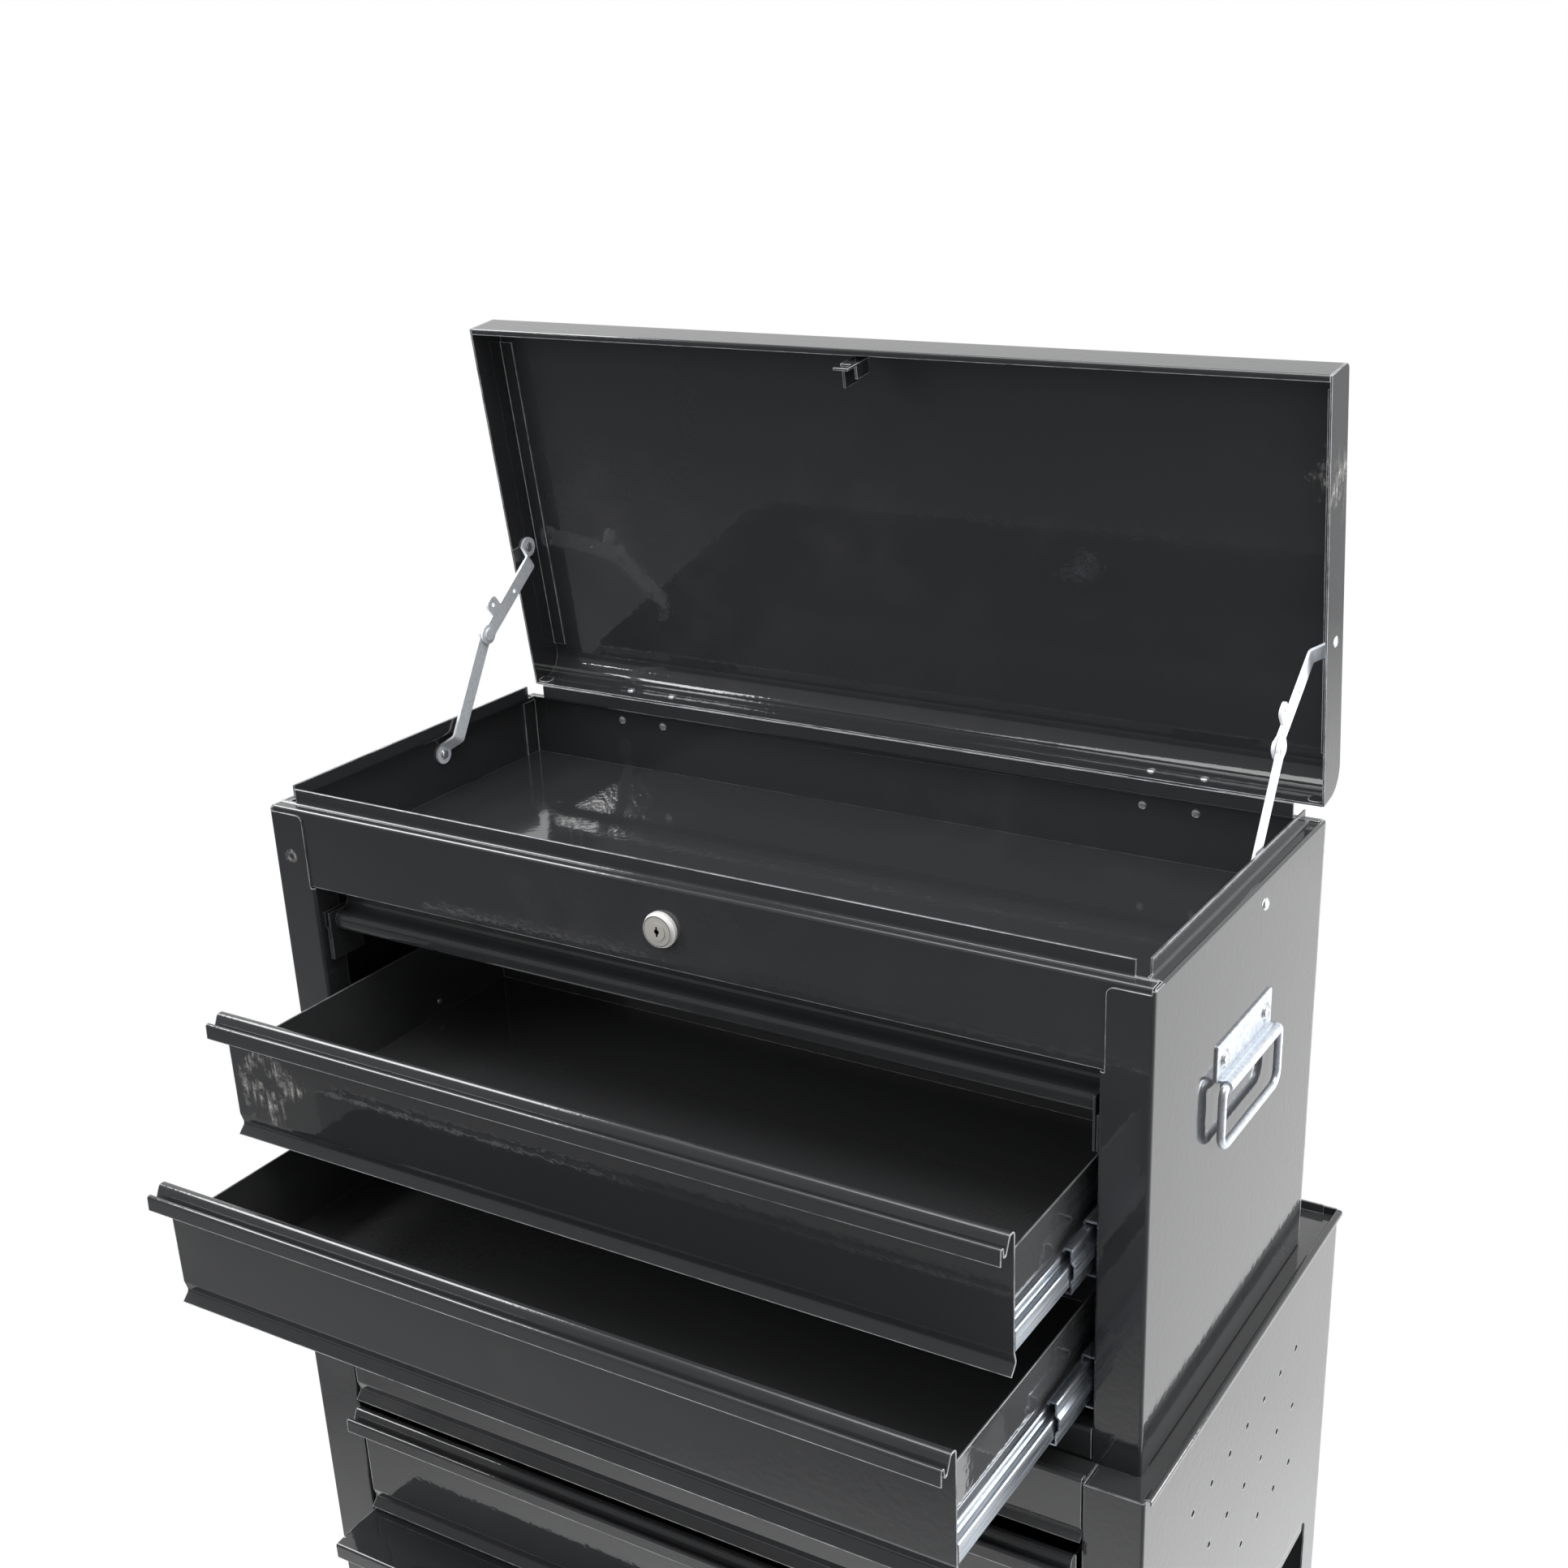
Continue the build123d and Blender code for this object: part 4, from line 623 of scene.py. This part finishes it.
def fastener_heads(name, spots, head, finish, body):
    """One mesh with a head at each spot, riding on a body."""
    points = bpy.data.meshes.new(name + "_points")
    points.from_pydata([spot for spot, axis, radius in spots], [], [])
    points.attributes.new("axis", "FLOAT_VECTOR", "POINT").data.foreach_set(
        "vector", [v for spot, axis, radius in spots for v in axis]
    )
    points.attributes.new("radius", "FLOAT", "POINT").data.foreach_set(
        "value", [radius for spot, axis, radius in spots]
    )
    carrier = bpy.data.objects.new(name + "_points", points)
    bpy.context.scene.collection.objects.link(carrier)
    modifier = carrier.modifiers.new("heads", "NODES")
    modifier.node_group = HEADS
    modifier[HEAD_SOCKETS["Head"]] = head
    modifier[HEAD_SOCKETS["Finish"]] = finish
    modifier[HEAD_SOCKETS["Seed"]] = HEAD_SEED
    graph = bpy.context.evaluated_depsgraph_get()
    mesh = bpy.data.meshes.new_from_object(carrier.evaluated_get(graph))
    bpy.data.objects.remove(carrier)
    mesh.name = name
    made = bpy.data.objects.new(name, mesh)
    bpy.context.scene.collection.objects.link(made)
    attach(made, body)
    return made


ROOT = "cabinet_and_chest"
DRAWERS = ("chest_drawer_upper", "chest_drawer_lower", "cabinet_drawer_upper", "cabinet_drawer_lower")
for node, head, tall, body in (
    ("body_rivets", DOME_HEAD, DOME[-1][1], ROOT),
    ("lid_rivets", DOME_HEAD, DOME[-1][1], "lid"),
    ("handle_screws", PAN_HEAD, PAN[-1][1], ROOT),
    ("caster_bolts", HEX_HEAD, HEX_TALL, ROOT),
):
    heads = fastener_heads(node + "_heads", head_spots(node, tall), head, BRIGHT_HEAD, body)
    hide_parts(node)


def tray_rivets():
    """Rivets that hold each slide to its drawer: two on each wall."""
    for drawer in DRAWERS:
        low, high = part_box(drawer + "_tray")
        spots = []
        for side in (-1, 1):
            wall = (high.x - TRAY_SHEET) * side
            for back, up in TRAY_RIVETS:
                spots.append((Vector((wall, low.y + back, low.z + up)), Vector((-side, 0, 0)), RIVET_R))
        fastener_heads(drawer + "_rivets", spots, DOME_HEAD, BRIGHT_HEAD, drawer)


tray_rivets()
for template in (DOME_HEAD, PAN_HEAD, HEX_HEAD):
    bpy.data.objects.remove(template)


# ---- studio --------------------------------------------------------------------------------------
FLOOR_REACH = 30.0
FLOOR_CORNERS = ((-1, -1), (1, -1), (1, 1), (-1, 1))
FLOOR_PAINT = (0.9, 0.9, 0.9, 1)
FLOOR_CLEAR = (0.35, 1.1)    # from the middle: plain floor within, white beyond
FLOOR_TURN = (-0.3, 0.4)     # where the mirrored floor brightens, from front to back
FLOOR_AHEAD = (-2.0, -1.1)   # the same, ahead of the chest
FLOOR_FRONT = (0.04, 0.26)   # mirrored levels ahead of it
FLOOR_FADE = (2.6, 4.5)      # where the mirrored floor dims again, and to what
FLOOR_FAR = 0.35
WORLD_SOFT = 0.6             # light of the room
WORLD_FRONT = 0.20           # what polished faces see of it in front and behind
WORLD_BACK = 0.84
WORLD_TURN = (-0.35, 0.35)   # between which the one becomes the other
SENSOR = 36.0                # lens and sensor in millimetres, turn in degrees
LENS = 46.32
SHIFT = (-0.0548, 0.0656)
CAMERA_AT = (0.6439, -0.9285, 1.4429)
CAMERA_TURN = (67.311, 1.485, 29.814)


def studio_floor():
    """White to the camera; polished faces see it dim in front of the chest and bright behind it."""
    mesh = bpy.data.meshes.new("floor")
    square = [(x * FLOOR_REACH, y * FLOOR_REACH, 0) for x, y in FLOOR_CORNERS]
    mesh.from_pydata(square, [], [(0, 1, 2, 3)])
    floor = bpy.data.objects.new("floor", mesh)
    bpy.context.scene.collection.objects.link(floor)
    made = bpy.data.materials.new("pale_floor")
    made.use_nodes = True
    tree = made.node_tree
    shader = tree.nodes["Principled BSDF"]
    shader.inputs["Base Color"].default_value = FLOOR_PAINT
    shader.inputs["Roughness"].default_value = 0.7
    rays = tree.nodes.new("ShaderNodeLightPath").outputs
    spot = tree.nodes.new("ShaderNodeNewGeometry").outputs["Position"]
    far = vector_node(tree, "LENGTH", spot)["Value"]
    away = remap(tree, far, *FLOOR_CLEAR)
    along = axis_of(tree, spot, "Y")
    front = remap(tree, along, *FLOOR_AHEAD, *FLOOR_FRONT)
    behind = remap(tree, along, *FLOOR_TURN)
    brighter = math_node(tree, "MULTIPLY", behind, math_node(tree, "SUBTRACT", 1.0, front))
    near = math_node(tree, "ADD", front, brighter)
    distant = remap(tree, far, *FLOOR_FADE, 1.0, FLOOR_FAR)
    mirrored = math_node(tree, "MULTIPLY", near, distant)
    glossy = rays["Is Glossy Ray"]
    direct = math_node(tree, "SUBTRACT", 1.0, glossy)
    level = math_node(tree, "ADD", math_node(tree, "MULTIPLY", glossy, mirrored), direct)
    glow = new_node(tree, "ShaderNodeEmission", Strength=level)
    seen = math_node(tree, "MAXIMUM", rays["Is Camera Ray"], glossy)
    mix = tree.nodes.new("ShaderNodeMixShader")
    tree.links.new(math_node(tree, "MULTIPLY", away, seen), mix.inputs["Fac"])
    tree.links.new(shader.outputs[0], mix.inputs[1])
    tree.links.new(glow.outputs[0], mix.inputs[2])
    tree.links.new(mix.outputs[0], tree.nodes["Material Output"].inputs["Surface"])
    floor.data.materials.append(made)


def studio_world():
    """Soft even light and a white backdrop; polished faces see it dim in front, bright behind."""
    world = bpy.data.worlds.new("studio")
    bpy.context.scene.world = world
    world.use_nodes = True
    tree = world.node_tree
    light = tree.nodes["Background"]
    light.inputs["Color"].default_value = (1, 1, 1, 1)
    rays = tree.nodes.new("ShaderNodeLightPath").outputs
    shown = math_node(tree, "MULTIPLY", rays["Is Camera Ray"], 1.0 - WORLD_SOFT)
    along = axis_of(tree, tree.nodes.new("ShaderNodeTexCoord").outputs["Generated"], "Y")
    level = remap(tree, along, *WORLD_TURN, WORLD_FRONT - WORLD_SOFT, WORLD_BACK - WORLD_SOFT)
    polished = math_node(tree, "MULTIPLY", rays["Is Glossy Ray"], level)
    strength = math_node(tree, "ADD", math_node(tree, "ADD", shown, polished), WORLD_SOFT)
    tree.links.new(strength, light.inputs["Strength"])


def softbox(name, at, to, size, watts, mirrored=True, only=()):
    """A soft lamp: polished faces may be kept from seeing it, and it may light a few nodes only."""
    data = bpy.data.lights.new(name, "AREA")
    data.shape = "RECTANGLE"
    data.size, data.size_y = size
    data.energy = watts
    lamp = bpy.data.objects.new(name, data)
    lamp.location = at
    lamp.rotation_euler = (Vector(to) - Vector(at)).to_track_quat("-Z", "Y").to_euler()
    lamp.visible_glossy = mirrored
    bpy.context.scene.collection.objects.link(lamp)
    if only:
        lit = bpy.data.collections.new(name + "_lights")
        for node in only:
            lit.objects.link(nodes[node])
        lamp.light_linking.receiver_collection = lit


def camera():
    data = bpy.data.cameras.new("camera")
    data.sensor_width = SENSOR
    data.lens = LENS
    data.shift_x, data.shift_y = SHIFT
    made = bpy.data.objects.new("camera", data)
    made.location = CAMERA_AT
    made.rotation_euler = [math.radians(angle) for angle in CAMERA_TURN]
    bpy.context.scene.collection.objects.link(made)
    bpy.context.scene.camera = made


studio_floor()
studio_world()
softbox("top", at=(0.2, -0.3, 3.2), to=(0, 0, 0.8), size=(2.2, 2.2), watts=55)
softbox("right", at=(2.2, 1.0, 1.0), to=(0, 0, 0.9), size=(1.6, 1.8), watts=66)
softbox("left", at=(-2.0, -1.8, 1.8), to=(0, 0, 0.8), size=(1.4, 1.6), watts=30, mirrored=False)
softbox("streak", at=(-1.9, 0.0, 3.0), to=(-0.1, 0, 1.0), size=(1.8, 0.7), watts=30)
softbox(
    "glint", at=(-2.03, -2.0, 2.05), to=(-0.26, 0.19, 1.0), size=(0.09, 0.06), watts=0.5,
    only=("chest_back", "lid_panel"),
)
camera()

bpy.context.scene.view_settings.view_transform = "Standard"
